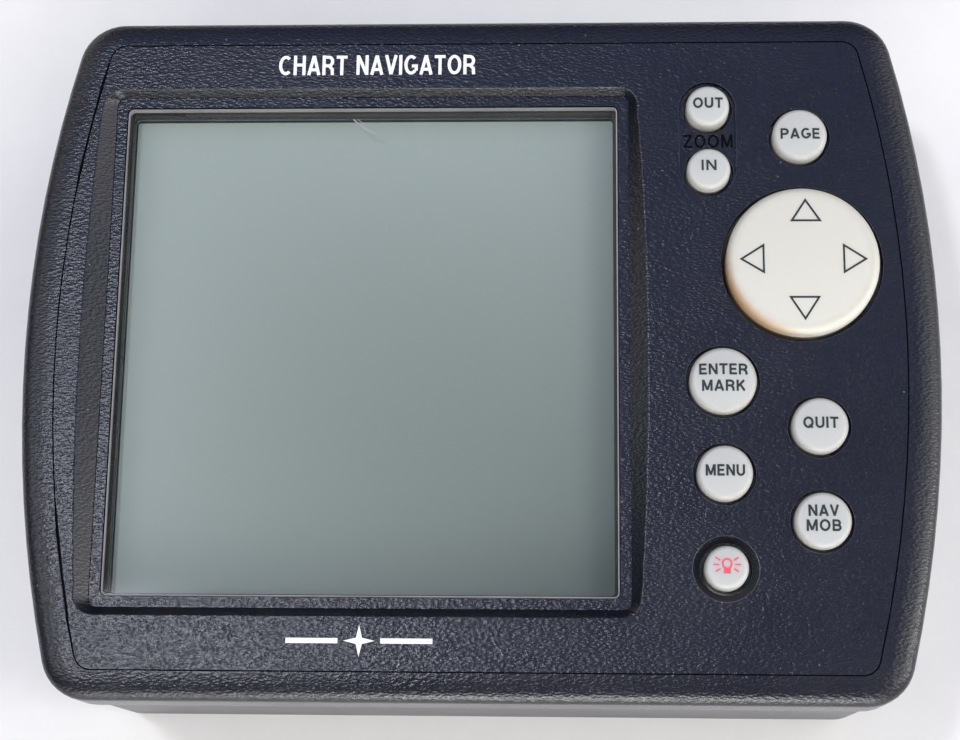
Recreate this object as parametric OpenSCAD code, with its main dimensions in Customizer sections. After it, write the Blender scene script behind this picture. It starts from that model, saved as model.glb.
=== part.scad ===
// Panel-mount map navigator: sealed two-part case, front window over a square LCD,
// eight round keys and a four-way rocker pad, connector shelf and card door at the back.
// It lies on its back: +X to the right of the face, +Y to its top, +Z out of the screen.

/* [Case] */
// Width of the face at mid height
case_w = 164.5; // [150:0.5:180]
// Height of the face
case_h = 126; // [118:0.5:140]
// Height of the flat face above the resting plane
face_z = 54; // [50:0.5:60]
// Radius of the bowed left and right sides
side_r = 235; // [200:5:300]
// Corner radius of the outline
corner_r = 8.5; // [7.5:0.5:11]
// Distance of the fine line from the left and right sides
panel_inset_x = 6.1; // [5.6:0.1:6.5]
// Distance of the fine line from the top and bottom edges
panel_inset_y = 5; // [4.8:0.1:5.4]
// Height of the joint between front and rear housing
joint_z = 40; // [39:0.5:41]
// Thickness of the front wall
front_wall = 3; // [2.5:0.1:3.2]
// Thickness of the rear housing's back wall
back_wall = 2.5; // [2:0.1:3]
// Radius of the round bosses that hold the bracket inserts
bracket_boss_r = 8; // [7:0.5:9]

/* [Window] */
// Size of the square window plate
window_w = 91; // [88:0.5:92]
// Horizontal centre of the window
window_x = -20.3; // [-21:0.1:-20]
// Vertical centre of the window
window_y = 0.7; // [0.2:0.1:1.2]
// Depth of the flat floor around the window below the face
window_recess = 2; // [1.5:0.1:2.2]
// Thickness of the window plate
window_t = 2; // [1.5:0.1:2.2]
// Half width of the bowed recess rim
rim_half_w = 51.25; // [50.5:0.25:51.5]
// Half height of the recess rim
rim_half_h = 48.75; // [48.5:0.25:49]
// Side of the visible square of the display
view_w = 89.4; // [88:0.2:89.4]

/* [Keys] */
// Height of the key tops above the face
key_proud = 2.2; // [1.8:0.1:2.6]
// Press travel of a key
key_travel = 0.9; // [0.6:0.1:0.9]
// Gap between a key and its hole
key_gap = 0.5; // [0.4:0.05:0.6]
// Radius of the four-way rocker pad
rocker_r = 13.95; // [13:0.05:14]
// Rise of the rocker pad's domed centre above the face
rocker_proud = 3.2; // [2.8:0.1:3.4]

/* [Back] */
// Half width of the connector shelf
shelf_half_w = 60; // [56:1:60]
// Height of the connector shelf's face above the resting plane
shelf_z = 24; // [23:0.5:25]
// Height on the face at which the shelf begins
shelf_y = 38; // [37:0.5:39]
// Radius of the power socket's barrel
power_r = 8; // [7.5:0.1:8]
// Radius of the antenna socket's barrel
antenna_r = 4.8; // [4.6:0.1:5]
// Radius of the bracket insert's thread bore
insert_bore_r = 2.5; // [2:0.1:3]

/* [Hidden] */
$fn = 64;
eps = 0.01;
half_w = case_w / 2;
half_h = case_h / 2;
wall_z = face_z - front_wall;
floor_z = face_z - window_recess;
lens_z = floor_z - 0.2 - window_t;
tape_t = 0.4;
ledge_z = lens_z - tape_t;
ledge_t = 1.4;
foam_t = 1;
bezel_top = ledge_z - ledge_t - foam_t;
bezel_t = 0.5;
glass_top = bezel_top - bezel_t - 0.2;
glass_z = glass_top - 2;
diffuser_z = glass_z - 0.5;
guide_z = diffuser_z - 3;
chassis_z = guide_z - 2.2;
lcd_half = 45.2;
inner_front = 4.2;
// Case profiles as height and distance in from the outline
front_profile = [[joint_z, 0.6], [joint_z + 2.5, 0], [face_z - 2.7, 0], [face_z - 2.05, 0.1],
                 [face_z - 1.5, 0.38], [face_z - 1.02, 0.85], [face_z - 0.64, 1.5],
                 [face_z - 0.38, 2.3], [face_z - 0.2, 3.4], [face_z, 4.8]];
rear_profile = [[0, 2.7], [0.6, 2], [1.6, 1.6], [3.2, 1.4], [joint_z, 1]];
rim_shift = [0.55, 0.45];
inner_rear = 5;

// Boards
keypad_board_z = 43.6;
keypad_board_t = 1.6;
keypad_top = keypad_board_z + keypad_board_t;
main_board_z = 28;
main_board_t = 1.6;
main_top = main_board_z + main_board_t;

// Keys: name, x, y, radius
KEYS = [
    ["key_zoom_out", 41.5, 44.7, 4.1],
    ["key_zoom_in", 41.5, 32.6, 4.1],
    ["key_page", 58.0, 39.1, 5.1],
    ["key_enter", 43.4, -6.6, 6.1],
    ["key_menu", 43.4, -23.2, 5.05],
    ["key_light", 43.4, -39.8, 4.0],
    ["key_quit", 60.1, -14.7, 5.1],
    ["key_nav", 60.1, -31.5, 5.1]
];
rocker_pos = [57.9, 15.2];
flange_lip = 1.3;
flange_top = wall_z - 0.3;
flange_t = 1.2;
plunger_z = keypad_top + key_travel + 0.1;
plunger_share = 0.6;
pivot_z = 49.2;
rocker_flange_r = 15.6;
rocker_flange_z = 48.2;
pin_r = 0.7;
pin_bore_r = 0.75;

// Fasteners
screw_xy = [[-68, 53.5], [68, 53.5], [-68, -53.5], [68, -53.5], [0, -56], [0, 56]];
pillar_r = 4;
screw_r = 1.6;
screw_bore_r = 1.65;
screw_top = 48;
head_r = 3;
head_t = 2.2;
counterbore = 3;
post_xy = [[-58, -43], [58, -43], [-58, 30], [58, 30]];
keypad_boss_xy = [[34, 27], [35, -47], [67.5, 36], [68.5, -21]];
chassis_boss_xy = [[-55, 51.5], [-10, 51.5], [-55, -50.3], [12, -50.3]];
chassis_ear_z = 42;
chassis_ear_t = 2;
small_screw_r = 1;
small_bore_r = 1.05;

// Back of the case
plug_y = 49.4;
power_x = -38;
antenna_x = 38;
shelf_wall = 2.5;
insert_z = 18;
insert_x = half_w - 14.5;
opening_w = window_w - 1.4;
line_w = 0.25;
line_depth = 0.35;
// Shallow recess round the zoom keys: the height of its two round ends, its radius and depth
zoom_recess_x = 41.5;
zoom_recess_y = [33.35, 44.85];
zoom_recess_r = 5.15;
zoom_recess_depth = 0.6;
// Dish round the light key: inner and outer radius and depth
dish_xy = [43.4, -39.8];
dish_r = [4.6, 5.8];
dish_depth = 0.8;
contact_angles = [20, 110, 200, 290];
contact_r = 3;
coax_r = 0.8;
coax_z = main_top + 3.1;
coax_end = 28.6;
door_axis = [40.2, 13];
door_half_w = 22.6;
door_top = 23.6;
door_pin_r = 0.8;
slot_half_w = 19;
slot_low = 16.8;
slot_high = 22.2;

// Quarter of an outline with a straight top and a bowed side, from the side's middle to the top.
function quarter(hw, hh, sr, rc, n) =
    let (x0 = hw - sr,
         cy = hh - rc,
         cx = x0 + sqrt(pow(sr - rc, 2) - cy * cy),
         a1 = atan2(cy, cx - x0))
    concat([for (i = [0:n]) [x0 + sr * cos(a1 * i / n), sr * sin(a1 * i / n)]],
           [for (i = [1:n]) let (a = a1 + (90 - a1) * i / n) [cx + rc * cos(a), cy + rc * sin(a)]]);

// Whole outline, symmetric about both axes.
function bowed(hw, hh, sr, rc, n = 8) =
    let (q = quarter(hw, hh, sr, rc, n), m = len(q) - 1)
    concat(q,
           [for (i = [m:-1:0]) [-q[i][0], q[i][1]]],
           [for (i = [1:m]) [-q[i][0], -q[i][1]]],
           [for (i = [m:-1:1]) [q[i][0], -q[i][1]]]);

// Outline of the case, moved in by d.
function case_outline(d, rc) = bowed(half_w - d, half_h - d, side_r - d, rc);

// Outline of the panel inside the fine line, moved in by d.
function panel_outline(d) =
    bowed(half_w - panel_inset_x - d, half_h - panel_inset_y - d, side_r - panel_inset_x - d, 3.2 - d);

// Solid through closed outlines that have the same number of points, each given as [z, points].
module loft(layers) {
    n = len(layers[0][1]);
    m = len(layers);
    points = [for (l = layers) for (q = l[1]) [q[0], q[1], l[0]]];
    sides = [for (k = [0:m - 2]) for (i = [0:n - 1]) let (j = (i + 1) % n, a = k * n, b = a + n)
        each [[a + i, b + i, b + j], [a + i, b + j, a + j]]];
    polyhedron(points, concat([[for (i = [0:n - 1]) i]], [[for (i = [n - 1:-1:0]) (m - 1) * n + i]],
                              sides), convexity = 6);
}

// Outline of a square with round corners, with as many points as the case outline.
function square_outline(w, r) = bowed(w / 2, w / 2, 1e5, r);

// Flat ring between two insets of the case outline.
module case_ring(z, t, d_out, d_in, rc_out, rc_in) {
    translate([0, 0, z]) linear_extrude(t) difference() {
        polygon(case_outline(d_out, rc_out));
        polygon(case_outline(d_in, rc_in));
    }
}

// Square plate centred on the window, with round corners.
module window_plate(z, t, w, r = 1) {
    translate([window_x, window_y, z]) linear_extrude(t) union() {
        square([w, w - 2 * r], center = true);
        square([w - 2 * r, w], center = true);
        for (i = [-1, 1], j = [-1, 1]) translate([i * (w / 2 - r), j * (w / 2 - r)]) circle(r);
    }
}

// Square frame centred on the window.
module window_frame(z, t, w_out, w_in, r_out = 1, r_in = 1) {
    difference() {
        window_plate(z, t, w_out, r_out);
        window_plate(z - 1, t + 2, w_in, r_in);
    }
}

// Box given by its two corners.
module block(a, b) {
    translate(a) cube(b - a);
}

// Upright cylinder from z0 to z1.
module post(xy, r, z0, z1) {
    translate([xy[0], xy[1], z0]) cylinder(r = r, h = z1 - z0);
}

// Wire that rises from z0, turns through a right angle and runs towards -Y as far as y_end.
module elbow_wire(xy, z0, y_end, bend, r) {
    translate([xy[0], xy[1], z0]) {
        translate([0, -bend, 0]) rotate([90, 0, 90])
            rotate_extrude(angle = 90) translate([bend, 0]) circle(r);
        translate([0, -bend, bend]) rotate([90, 0, 0]) cylinder(r = r, h = xy[1] - bend - y_end);
    }
}

module front_housing() {
    color([0.07, 0.07, 0.10]) difference() {
        union() {
            difference() {
                loft([for (l = front_profile) [l[0], case_outline(l[1], corner_r - l[1])]]);
                translate([0, 0, joint_z - 1]) linear_extrude(wall_z - joint_z + 1)
                    polygon(case_outline(inner_front, corner_r - inner_front));
            }
            window_plate(ledge_z - ledge_t, wall_z - ledge_z + ledge_t + eps, window_w + 6, 1.5);
            for (p = screw_xy) post(p, pillar_r, joint_z, wall_z + eps);
            for (p = keypad_boss_xy) post(p, 2.2, keypad_top, wall_z + eps);
            for (p = chassis_boss_xy) post(p, 2.6, chassis_ear_z + chassis_ear_t, wall_z + eps);
        }
        // Fine line around the face
        translate([0, 0, face_z - line_depth]) linear_extrude(1) difference() {
            polygon(panel_outline(0));
            polygon(panel_outline(line_w));
        }
        // Sloping recess around the window, its flat floor and the window's seat
        translate([window_x, window_y, 0]) loft([
            [floor_z, square_outline(window_w + 4, 1.6)],
            [floor_z + 0.3, square_outline(window_w + 4, 1.6)],
            [face_z + 1, [for (q = bowed(rim_half_w + 1.9, rim_half_h + 0.7, 390, 4.8)) q - rim_shift]]
        ]);
        window_plate(ledge_z, 5, window_w + 0.2, 1.2);
        window_plate(ledge_z - 5, 10, opening_w, 1);
        // Key holes, the zoom pair's shallow recess, the light key's dish and the rocker's hole
        for (k = KEYS) post([k[1], k[2]], k[3] + key_gap, wall_z - 1, face_z + 1);
        for (y = zoom_recess_y)
            post([zoom_recess_x, y], zoom_recess_r, face_z - zoom_recess_depth, face_z + 1);
        block([zoom_recess_x - zoom_recess_r, zoom_recess_y[0], face_z - zoom_recess_depth],
              [zoom_recess_x + zoom_recess_r, zoom_recess_y[1], face_z + 1]);
        translate([dish_xy[0], dish_xy[1], face_z - dish_depth])
            cylinder(r1 = dish_r[0], r2 = dish_r[1], h = dish_depth + 0.01);
        post(rocker_pos, rocker_r + key_gap, wall_z - 1, face_z + 1);
        // Blind pilot holes
        for (p = screw_xy) post(p, screw_bore_r, joint_z - 1, screw_top + 0.5);
        for (p = keypad_boss_xy) post(p, small_bore_r, keypad_top - 1, wall_z - 1);
        for (p = chassis_boss_xy) post(p, small_bore_r, chassis_ear_z, wall_z - 1);
    }
}

module rear_housing() {
    color([0.09, 0.09, 0.12]) difference() {
        union() {
            difference() {
                loft([for (l = rear_profile) [l[0], case_outline(l[1], corner_r - 2)]]);
                translate([0, 0, back_wall]) linear_extrude(joint_z)
                    polygon(case_outline(inner_rear, corner_r - inner_rear));
            }
            intersection() {
                block([-shelf_half_w - shelf_wall, shelf_y - shelf_wall, 1],
                      [shelf_half_w + shelf_wall, half_h, shelf_z + shelf_wall]);
                linear_extrude(joint_z)
                    polygon(case_outline(inner_rear - 1, corner_r - inner_rear + 1));
            }
            for (p = screw_xy) post(p, pillar_r, 1, joint_z);
            for (p = post_xy) post(p, 3, 1, main_board_z);
            for (s = [-1, 1]) translate([s * (insert_x - 1), 0, insert_z]) rotate([0, s * 90, 0])
                cylinder(r = bracket_boss_r, h = 13.9);
        }
        // Connector shelf, open to the back and the top
        block([-shelf_half_w, shelf_y, -1], [shelf_half_w, half_h + 5, shelf_z]);
        // Gasket groove in the joint face
        case_ring(joint_z - 1.2, 2, 2, 3.4, corner_r - 2, corner_r - 3.4);
        // Housing screws
        for (p = screw_xy) {
            z0 = p[1] > 55 ? shelf_z : 0;
            post(p, head_r + 0.25, z0 - 1, z0 + counterbore);
            post(p, screw_r + 0.2, z0, joint_z + 1);
        }
        for (p = post_xy) post(p, small_bore_r, main_board_z - 8, main_board_z + 1);
        // Socket holes through the shelf's face
        post([power_x, plug_y], 7.1, shelf_z - 1, shelf_z + shelf_wall + 1);
        post([antenna_x, plug_y], antenna_r, shelf_z - 1, shelf_z + shelf_wall + 1);
        // Seats of the bracket inserts
        for (s = [-1, 1]) translate([s * insert_x, 0, insert_z]) rotate([0, s * 90, 0])
            cylinder(r = 5.05, h = 20);
        // Card slot and the shallow seat of the label
        block([-slot_half_w, shelf_y - 5, slot_low], [slot_half_w, shelf_y + 1, slot_high]);
        block([-26, -20, -1], [26, 10, 0.4]);
    }
    // Hinge lugs of the card door
    color([0.09, 0.09, 0.12]) for (s = [-1, 1]) difference() {
        block([s * 24.5 - 1.5, shelf_y - eps, door_axis[1] - 1.8],
              [s * 24.5 + 1.5, door_axis[0] + 1.8, door_axis[1] + 1.8]);
        translate([s * 24.5 - 3, door_axis[0], door_axis[1]]) rotate([0, 90, 0])
            cylinder(r = door_pin_r + 0.03, h = 6);
    }
}

module housing_gasket() {
    color([0.16, 0.16, 0.17])
        case_ring(joint_z - 1.2, 1.2, 2.05, 3.35, corner_r - 2.05, corner_r - 3.35);
}

module housing_screws() {
    color([0.62, 0.63, 0.65]) for (p = screw_xy) {
        z0 = (p[1] > 55 ? shelf_z : 0) + counterbore;
        difference() {
            union() {
                post(p, head_r, z0 - head_t, z0);
                post(p, screw_r, z0, screw_top);
            }
            for (a = [0, 90]) translate([p[0], p[1], z0 - head_t]) rotate([0, 0, a])
                cube([3.6, 0.8, 2.4], center = true);
        }
    }
}

module display_window() {
    color([0.75, 0.80, 0.80, 0.35]) translate([window_x, window_y, 0]) loft([
        [lens_z, square_outline(window_w, 1)],
        [lens_z + window_t - 0.3, square_outline(window_w, 1)],
        [lens_z + window_t, square_outline(window_w - 0.6, 0.8)]
    ]);
}

module window_tape() {
    color([0.10, 0.10, 0.11]) window_frame(ledge_z, tape_t, window_w, opening_w);
}

module dust_gasket() {
    color([0.13, 0.13, 0.14]) window_frame(ledge_z - ledge_t - foam_t, foam_t, 93, 89.8);
}

module lcd_bezel() {
    color([0.12, 0.12, 0.13]) difference() {
        window_plate(44, bezel_top - 44, 2 * lcd_half + 4, 1);
        window_plate(43, bezel_top - bezel_t - 43, 2 * lcd_half + 3, 0.8);
        window_plate(43, 10, view_w, 0.5);
    }
}

module front_polariser() {
    color([0.55, 0.62, 0.58]) window_plate(glass_top, 0.2, 2 * lcd_half - 0.4, 0.5);
}

module lcd_glass() {
    color([0.50, 0.58, 0.54]) window_plate(glass_z, 2, 2 * lcd_half, 0.5);
}

module backlight_diffuser() {
    color([0.90, 0.92, 0.90]) window_plate(diffuser_z, 0.5, 2 * lcd_half, 0.5);
}

module backlight_guide() {
    color([0.85, 0.92, 0.90]) block(
        [window_x - lcd_half + 0.2, window_y - lcd_half + 3.2, guide_z],
        [window_x + lcd_half - 0.2, window_y + lcd_half - 0.2, diffuser_z]);
}

module backlight_lamp() {
    color([0.95, 0.95, 0.88])
        translate([window_x - 42, window_y - lcd_half + 1.6, guide_z + 1.5])
        rotate([0, 90, 0]) cylinder(r = 1.3, h = 84);
}

module lcd_chassis() {
    color([0.86, 0.86, 0.83]) difference() {
        union() {
            window_plate(chassis_z, glass_z - chassis_z, 2 * lcd_half + 2.8, 0.8);
            for (p = chassis_boss_xy) {
                post(p, 3, chassis_ear_z, chassis_ear_z + chassis_ear_t);
                side = p[1] > 0 ? 1 : -1;
                block([p[0] - 3, min(p[1], p[1] - side * 6), chassis_ear_z],
                      [p[0] + 3, max(p[1], p[1] - side * 6), chassis_ear_z + chassis_ear_t]);
            }
        }
        window_plate(guide_z, 10, 2 * lcd_half + 0.1, 0.5);
        for (p = chassis_boss_xy) post(p, small_screw_r + 0.2, 30, 60);
    }
}

module lcd_driver_board() {
    color([0.10, 0.32, 0.18]) block([-56, -36, chassis_z - 1.2], [14, 38, chassis_z]);
}

module lcd_flex_cable() {
    color([0.75, 0.45, 0.12]) block([-30, -33, main_top + 2.4], [-12, -32.8, chassis_z - 1.2]);
}

module front_screws() {
    color([0.66, 0.66, 0.68]) {
        for (p = keypad_boss_xy) small_screw(p, keypad_board_z);
        for (p = chassis_boss_xy) small_screw(p, chassis_ear_z);
    }
}

// Pan-head screw whose head bears upward against height z.
module small_screw(p, z) {
    difference() {
        union() {
            post(p, 2, z - 1.5, z);
            post(p, small_screw_r, z, z + 6);
        }
        for (a = [0, 90]) translate([p[0], p[1], z - 1.5]) rotate([0, 0, a])
            cube([2.4, 0.5, 1.4], center = true);
    }
}

module keypad_board() {
    color([0.10, 0.34, 0.20]) difference() {
        block([31, -50, keypad_board_z], [72, 52, keypad_top]);
        block([62, 46, 40], [80, 60, 50]);
        block([62, -60, 40], [80, -46, 50]);
        for (p = keypad_boss_xy) post(p, small_screw_r + 0.15, 40, 50);
    }
}

module contact_pads() {
    color([0.85, 0.68, 0.30]) {
        for (k = KEYS) post([k[1], k[2]], k[3] * plunger_share, keypad_top, keypad_top + 0.05);
        for (a = [45:90:315])
            post(rocker_pos + 11.4 * [cos(a - 45), sin(a - 45)], 2, keypad_top, keypad_top + 0.05);
    }
}

module keypad_mat() {
    color([0.80, 0.81, 0.79]) difference() {
        block([32, -44.6, keypad_top], [71.5, 50.8, keypad_top + 1.2]);
        for (k = KEYS) post([k[1], k[2]], k[3] * plunger_share + 0.6, 40, 50);
        post(rocker_pos, 5, 40, 50);
        for (a = [0:90:270]) post(rocker_pos + 11.4 * [cos(a), sin(a)], 2.6, 40, 50);
        for (p = keypad_boss_xy) post(p, 2.8, 40, 50);
        block([61, 45, 40], [80, 60, 50]);
    }
}

module keypad_flex_cable() {
    color([0.75, 0.45, 0.12]) block([56, 4, main_top], [56.2, 22, keypad_board_z]);
}

module main_board() {
    color([0.08, 0.30, 0.16]) difference() {
        block([-63.5, -48, main_board_z], [63.5, 34.5, main_top]);
        for (p = post_xy) post(p, small_screw_r + 0.2, 20, 40);
    }
}

module board_screws() {
    color([0.66, 0.66, 0.68]) for (p = post_xy) difference() {
        union() {
            post(p, 2.2, main_top, main_top + 1.6);
            post(p, small_screw_r, main_top - 9, main_top);
        }
        for (a = [0, 90]) translate([p[0], p[1], main_top + 1.6]) rotate([0, 0, a])
            cube([2.6, 0.6, 1.6], center = true);
    }
}

module processor_chip() {
    color([0.10, 0.10, 0.11]) block([-32, -20, main_top], [-6, 6, main_top + 2.6]);
}

module memory_chips() {
    color([0.12, 0.12, 0.13]) for (p = [[-52, 8], [-52, -8], [14, -22], [14, -36]])
        block([p[0] - 7, p[1] - 5, main_top], [p[0] + 7, p[1] + 5, main_top + 1.4]);
}

module capacitors() {
    color([0.20, 0.22, 0.38]) for (x = [-26, -16, -6]) post([x, 24], 3.6, main_top, main_top + 5.4);
}

module beeper() {
    color([0.12, 0.12, 0.12]) difference() {
        post([48, -34], 6, main_top, main_top + 6);
        post([48, -34], 1, main_top + 3, main_top + 7);
    }
}

module backup_battery() {
    color([0.78, 0.79, 0.80]) post([48, -12], 10, main_top + 0.4, main_top + 3.6);
}

module board_connectors() {
    color([0.88, 0.87, 0.80]) {
        block([-31, -36, main_top], [-11, -29, main_top + 2.4]);
        block([-46, 24, main_top], [-32, 31, main_top + 4.5]);
        block([6, 6, main_top], [42, 8, main_top + 1.2]);
        block([6, 29, main_top], [42, 31, main_top + 1.2]);
    }
}

module receiver_board() {
    color([0.10, 0.36, 0.22]) block([4, 4, main_top + 1.2], [44, 33, main_top + 2.2]);
}

module receiver_shield() {
    color([0.74, 0.75, 0.76]) difference() {
        block([6, 6, main_top + 2.2], [42, 28, main_top + 6]);
        block([6.4, 6.4, main_top + 1], [41.6, 27.6, main_top + 5.6]);
    }
}

module antenna_patch() {
    color([0.82, 0.76, 0.62]) block([9, 53.8, 29], [27, 57.4, 47]);
}

module antenna_ground_plate() {
    color([0.72, 0.60, 0.35]) block([7, 53, 27], [29, 53.8, 49]);
}

module antenna_coax() {
    color([0.15, 0.15, 0.16]) {
        translate([18, 53, coax_z]) rotate([90, 0, 0]) cylinder(r = coax_r, h = 53 - coax_end);
        elbow_wire([antenna_x, plug_y], coax_z - 2.5, coax_end, 2.5, coax_r);
    }
}

module antenna_socket() {
    color([0.80, 0.78, 0.70]) translate([antenna_x, plug_y, 0]) difference() {
        union() {
            post([0, 0], antenna_r, shelf_z - 12, shelf_z - 1);
            post([0, 0], 6.6, shelf_z - 1.4, shelf_z);
            post([0, 0], antenna_r - 0.05, shelf_z - eps, coax_z - 2.5);
        }
        post([0, 0], 3.2, shelf_z - 13, shelf_z - 2);
    }
}

module antenna_insulator() {
    color([0.93, 0.93, 0.90]) translate([antenna_x, plug_y, 0]) difference() {
        post([0, 0], 3.15, shelf_z - 11.4, shelf_z - 2);
        post([0, 0], 0.6, shelf_z - 12, shelf_z - 6);
    }
}

module antenna_nut() {
    color([0.80, 0.78, 0.70]) translate([antenna_x, plug_y, shelf_z + shelf_wall]) difference() {
        cylinder(r = 7.6, h = 2.4, $fn = 6);
        post([0, 0], antenna_r, -1, 4);
    }
}

module power_socket() {
    color([0.10, 0.10, 0.11]) translate([power_x, plug_y, 0]) difference() {
        union() {
            post([0, 0], power_r, shelf_z - 12, shelf_z - 1.9);
            post([0, 0], 9.4, shelf_z - 2, shelf_z);
            post([0, 0], 7, shelf_z - eps, shelf_z + 8);
        }
        // Keyway, the four contact holes and the seal's groove
        block([-1.2, 6.6, shelf_z - 13], [1.2, 9, shelf_z - 4]);
        for (a = contact_angles) post(contact_r * [cos(a), sin(a)], 0.95, shelf_z - 13, shelf_z + 12);
        difference() {
            post([0, 0], 8.9, shelf_z - 0.8, shelf_z + 1);
            post([0, 0], 7.6, shelf_z - 2, shelf_z + 2);
        }
    }
}

module power_contacts() {
    color([0.85, 0.70, 0.35]) translate([power_x, plug_y, 0]) for (a = contact_angles) {
        at = contact_r * [cos(a), sin(a)];
        difference() {
            post(at, 0.9, shelf_z - 11.5, shelf_z + 8.4);
            post(at, 0.5, shelf_z - 12, shelf_z - 4);
        }
    }
}

module power_nut() {
    color([0.30, 0.30, 0.31]) translate([power_x, plug_y, shelf_z + shelf_wall]) difference() {
        cylinder(r = 9.6, h = 3.2, $fn = 6);
        post([0, 0], 7.05, -1, 5);
    }
}

module power_seal() {
    color([0.18, 0.18, 0.19]) translate([power_x, plug_y, 0]) difference() {
        post([0, 0], 8.85, shelf_z - 0.8, shelf_z);
        post([0, 0], 7.65, shelf_z - 2, shelf_z + 1);
    }
}

module power_wires() {
    color([0.70, 0.12, 0.10]) for (a = contact_angles)
        elbow_wire([power_x, plug_y] + contact_r * [cos(a), sin(a)], shelf_z + 8.4, 31, 1.2, 0.5);
}

module bracket_inserts() {
    color([0.78, 0.62, 0.30]) for (s = [-1, 1])
        translate([s * insert_x, 0, insert_z]) rotate([0, s * 90, 0]) difference() {
            cylinder(r = 5, h = 12.6);
            translate([0, 0, 1.6]) cylinder(r = insert_bore_r, h = 20);
        }
}

module blank_label() {
    color([0.72, 0.73, 0.74]) block([-25.8, -19.8, 0.15], [25.8, 9.8, 0.4]);
}

module card_socket() {
    color([0.20, 0.20, 0.22]) {
        for (s = [-1, 1]) block([min(s * 18.4, s * 21), -14, 16], [max(s * 18.4, s * 21), 33, main_board_z]);
        block([-18.4, -14, 16], [18.4, -8, main_board_z]);
    }
}

module data_card() {
    color([0.25, 0.27, 0.30]) block([-18, -7.8, 17.8], [18, 34.5, 21.1]);
}

module door_seal() {
    color([0.20, 0.20, 0.21]) difference() {
        block([-21.4, shelf_y, 15.2], [21.4, shelf_y + 0.8, 23.4]);
        block([-20.2, shelf_y - 1, 16.4], [20.2, shelf_y + 2, 22.4]);
    }
}

module door_hinge_pin() {
    color([0.75, 0.75, 0.76]) translate([-26, door_axis[0], door_axis[1]]) rotate([0, 90, 0])
        cylinder(r = door_pin_r, h = 52);
}

module card_door() {
    color([0.10, 0.10, 0.12]) difference() {
        union() {
            block([-door_half_w, 39, door_axis[1]], [door_half_w, 41, door_top]);
            block([-6, 41 - eps, 21], [6, 41.8, 22.6]);
            translate([-door_half_w, door_axis[0], door_axis[1]]) rotate([0, 90, 0])
                cylinder(r = 1.6, h = 2 * door_half_w);
        }
        translate([-30, door_axis[0], door_axis[1]]) rotate([0, 90, 0])
            cylinder(r = door_pin_r + 0.06, h = 60);
    }
}

module rocker_post() {
    color([0.80, 0.80, 0.78]) difference() {
        post(rocker_pos, 3, keypad_top, pivot_z + 1.4);
        for (s = [-1, 1]) translate([rocker_pos[0] + s * 1.6, rocker_pos[1], pivot_z])
            rotate([0, s * 90, 0]) cylinder(r = pin_bore_r, h = 4, $fn = 32);
    }
}

module rocker_gimbal() {
    color([0.60, 0.61, 0.62]) translate([rocker_pos[0], rocker_pos[1], pivot_z]) {
        difference() {
            union() {
                difference() {
                    post([0, 0], 6.6, -1, 1);
                    post([0, 0], 4.4, -2, 2);
                }
                for (s = [-1, 1]) translate([s * 1.8, 0, 0]) rotate([0, s * 90, 0])
                    cylinder(r = pin_r, h = 3.2, $fn = 32);
            }
            for (s = [-1, 1]) translate([0, s * 5, 0]) rotate([-s * 90, 0, 0])
                cylinder(r = pin_bore_r, h = 4, $fn = 32);
        }
    }
}

module rocker_pad() {
    dome_r = 150;
    top = face_z + rocker_proud;
    edge = 1.4;
    edge_top = top - 0.55;
    color([0.90, 0.89, 0.84]) translate([rocker_pos[0], rocker_pos[1], 0]) {
        difference() {
            rotate_extrude() intersection() {
                translate([0, top - dome_r]) circle(dome_r, $fn = 360);
                union() {
                    translate([0, rocker_flange_z]) square([rocker_r - edge, edge_top - rocker_flange_z]);
                    translate([0, rocker_flange_z]) square([rocker_r, edge_top - edge - rocker_flange_z]);
                    translate([rocker_r - edge, edge_top - edge]) circle(edge);
                    translate([0, rocker_flange_z]) square([rocker_flange_r, 1]);
                    translate([0, rocker_flange_z]) square([rocker_r - edge - 1, 20]);
                }
                square([30, 80]);
            }
            post([0, 0], 8, rocker_flange_z - 1, 52.2);
        }
        for (s = [-1, 1]) translate([0, s * 5.3, pivot_z]) rotate([-s * 90, 0, 0])
            cylinder(r = pin_r, h = 3.2, $fn = 32);
        // Four feet that press the contacts
        for (a = [0:90:270]) post(11.4 * [cos(a), sin(a)], 1.8, keypad_top + 1.2, rocker_flange_z + eps);
    }
}

// Round key: slightly domed cap with a rounded edge, a retaining flange and a plunger.
module round_key(x, y, r, tint) {
    top = face_z + key_proud;
    edge = 0.9;
    edge_top = top - 0.2;
    dome_r = 32;
    color(tint) translate([x, y, 0]) rotate_extrude() intersection() {
        translate([0, top - dome_r]) circle(dome_r, $fn = 240);
        union() {
            translate([0, plunger_z]) square([r * plunger_share, edge_top - plunger_z]);
            translate([0, flange_top - flange_t]) square([r + flange_lip, flange_t]);
            translate([0, flange_top - flange_t]) square([r, edge_top - edge - flange_top + flange_t]);
            translate([0, flange_top - flange_t]) square([r - edge, edge_top - flange_top + flange_t]);
            translate([r - edge, edge_top - edge]) circle(edge);
            translate([0, flange_top]) square([r - edge - 0.6, 10]);
        }
        square([20, 80]);
    }
}

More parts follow.
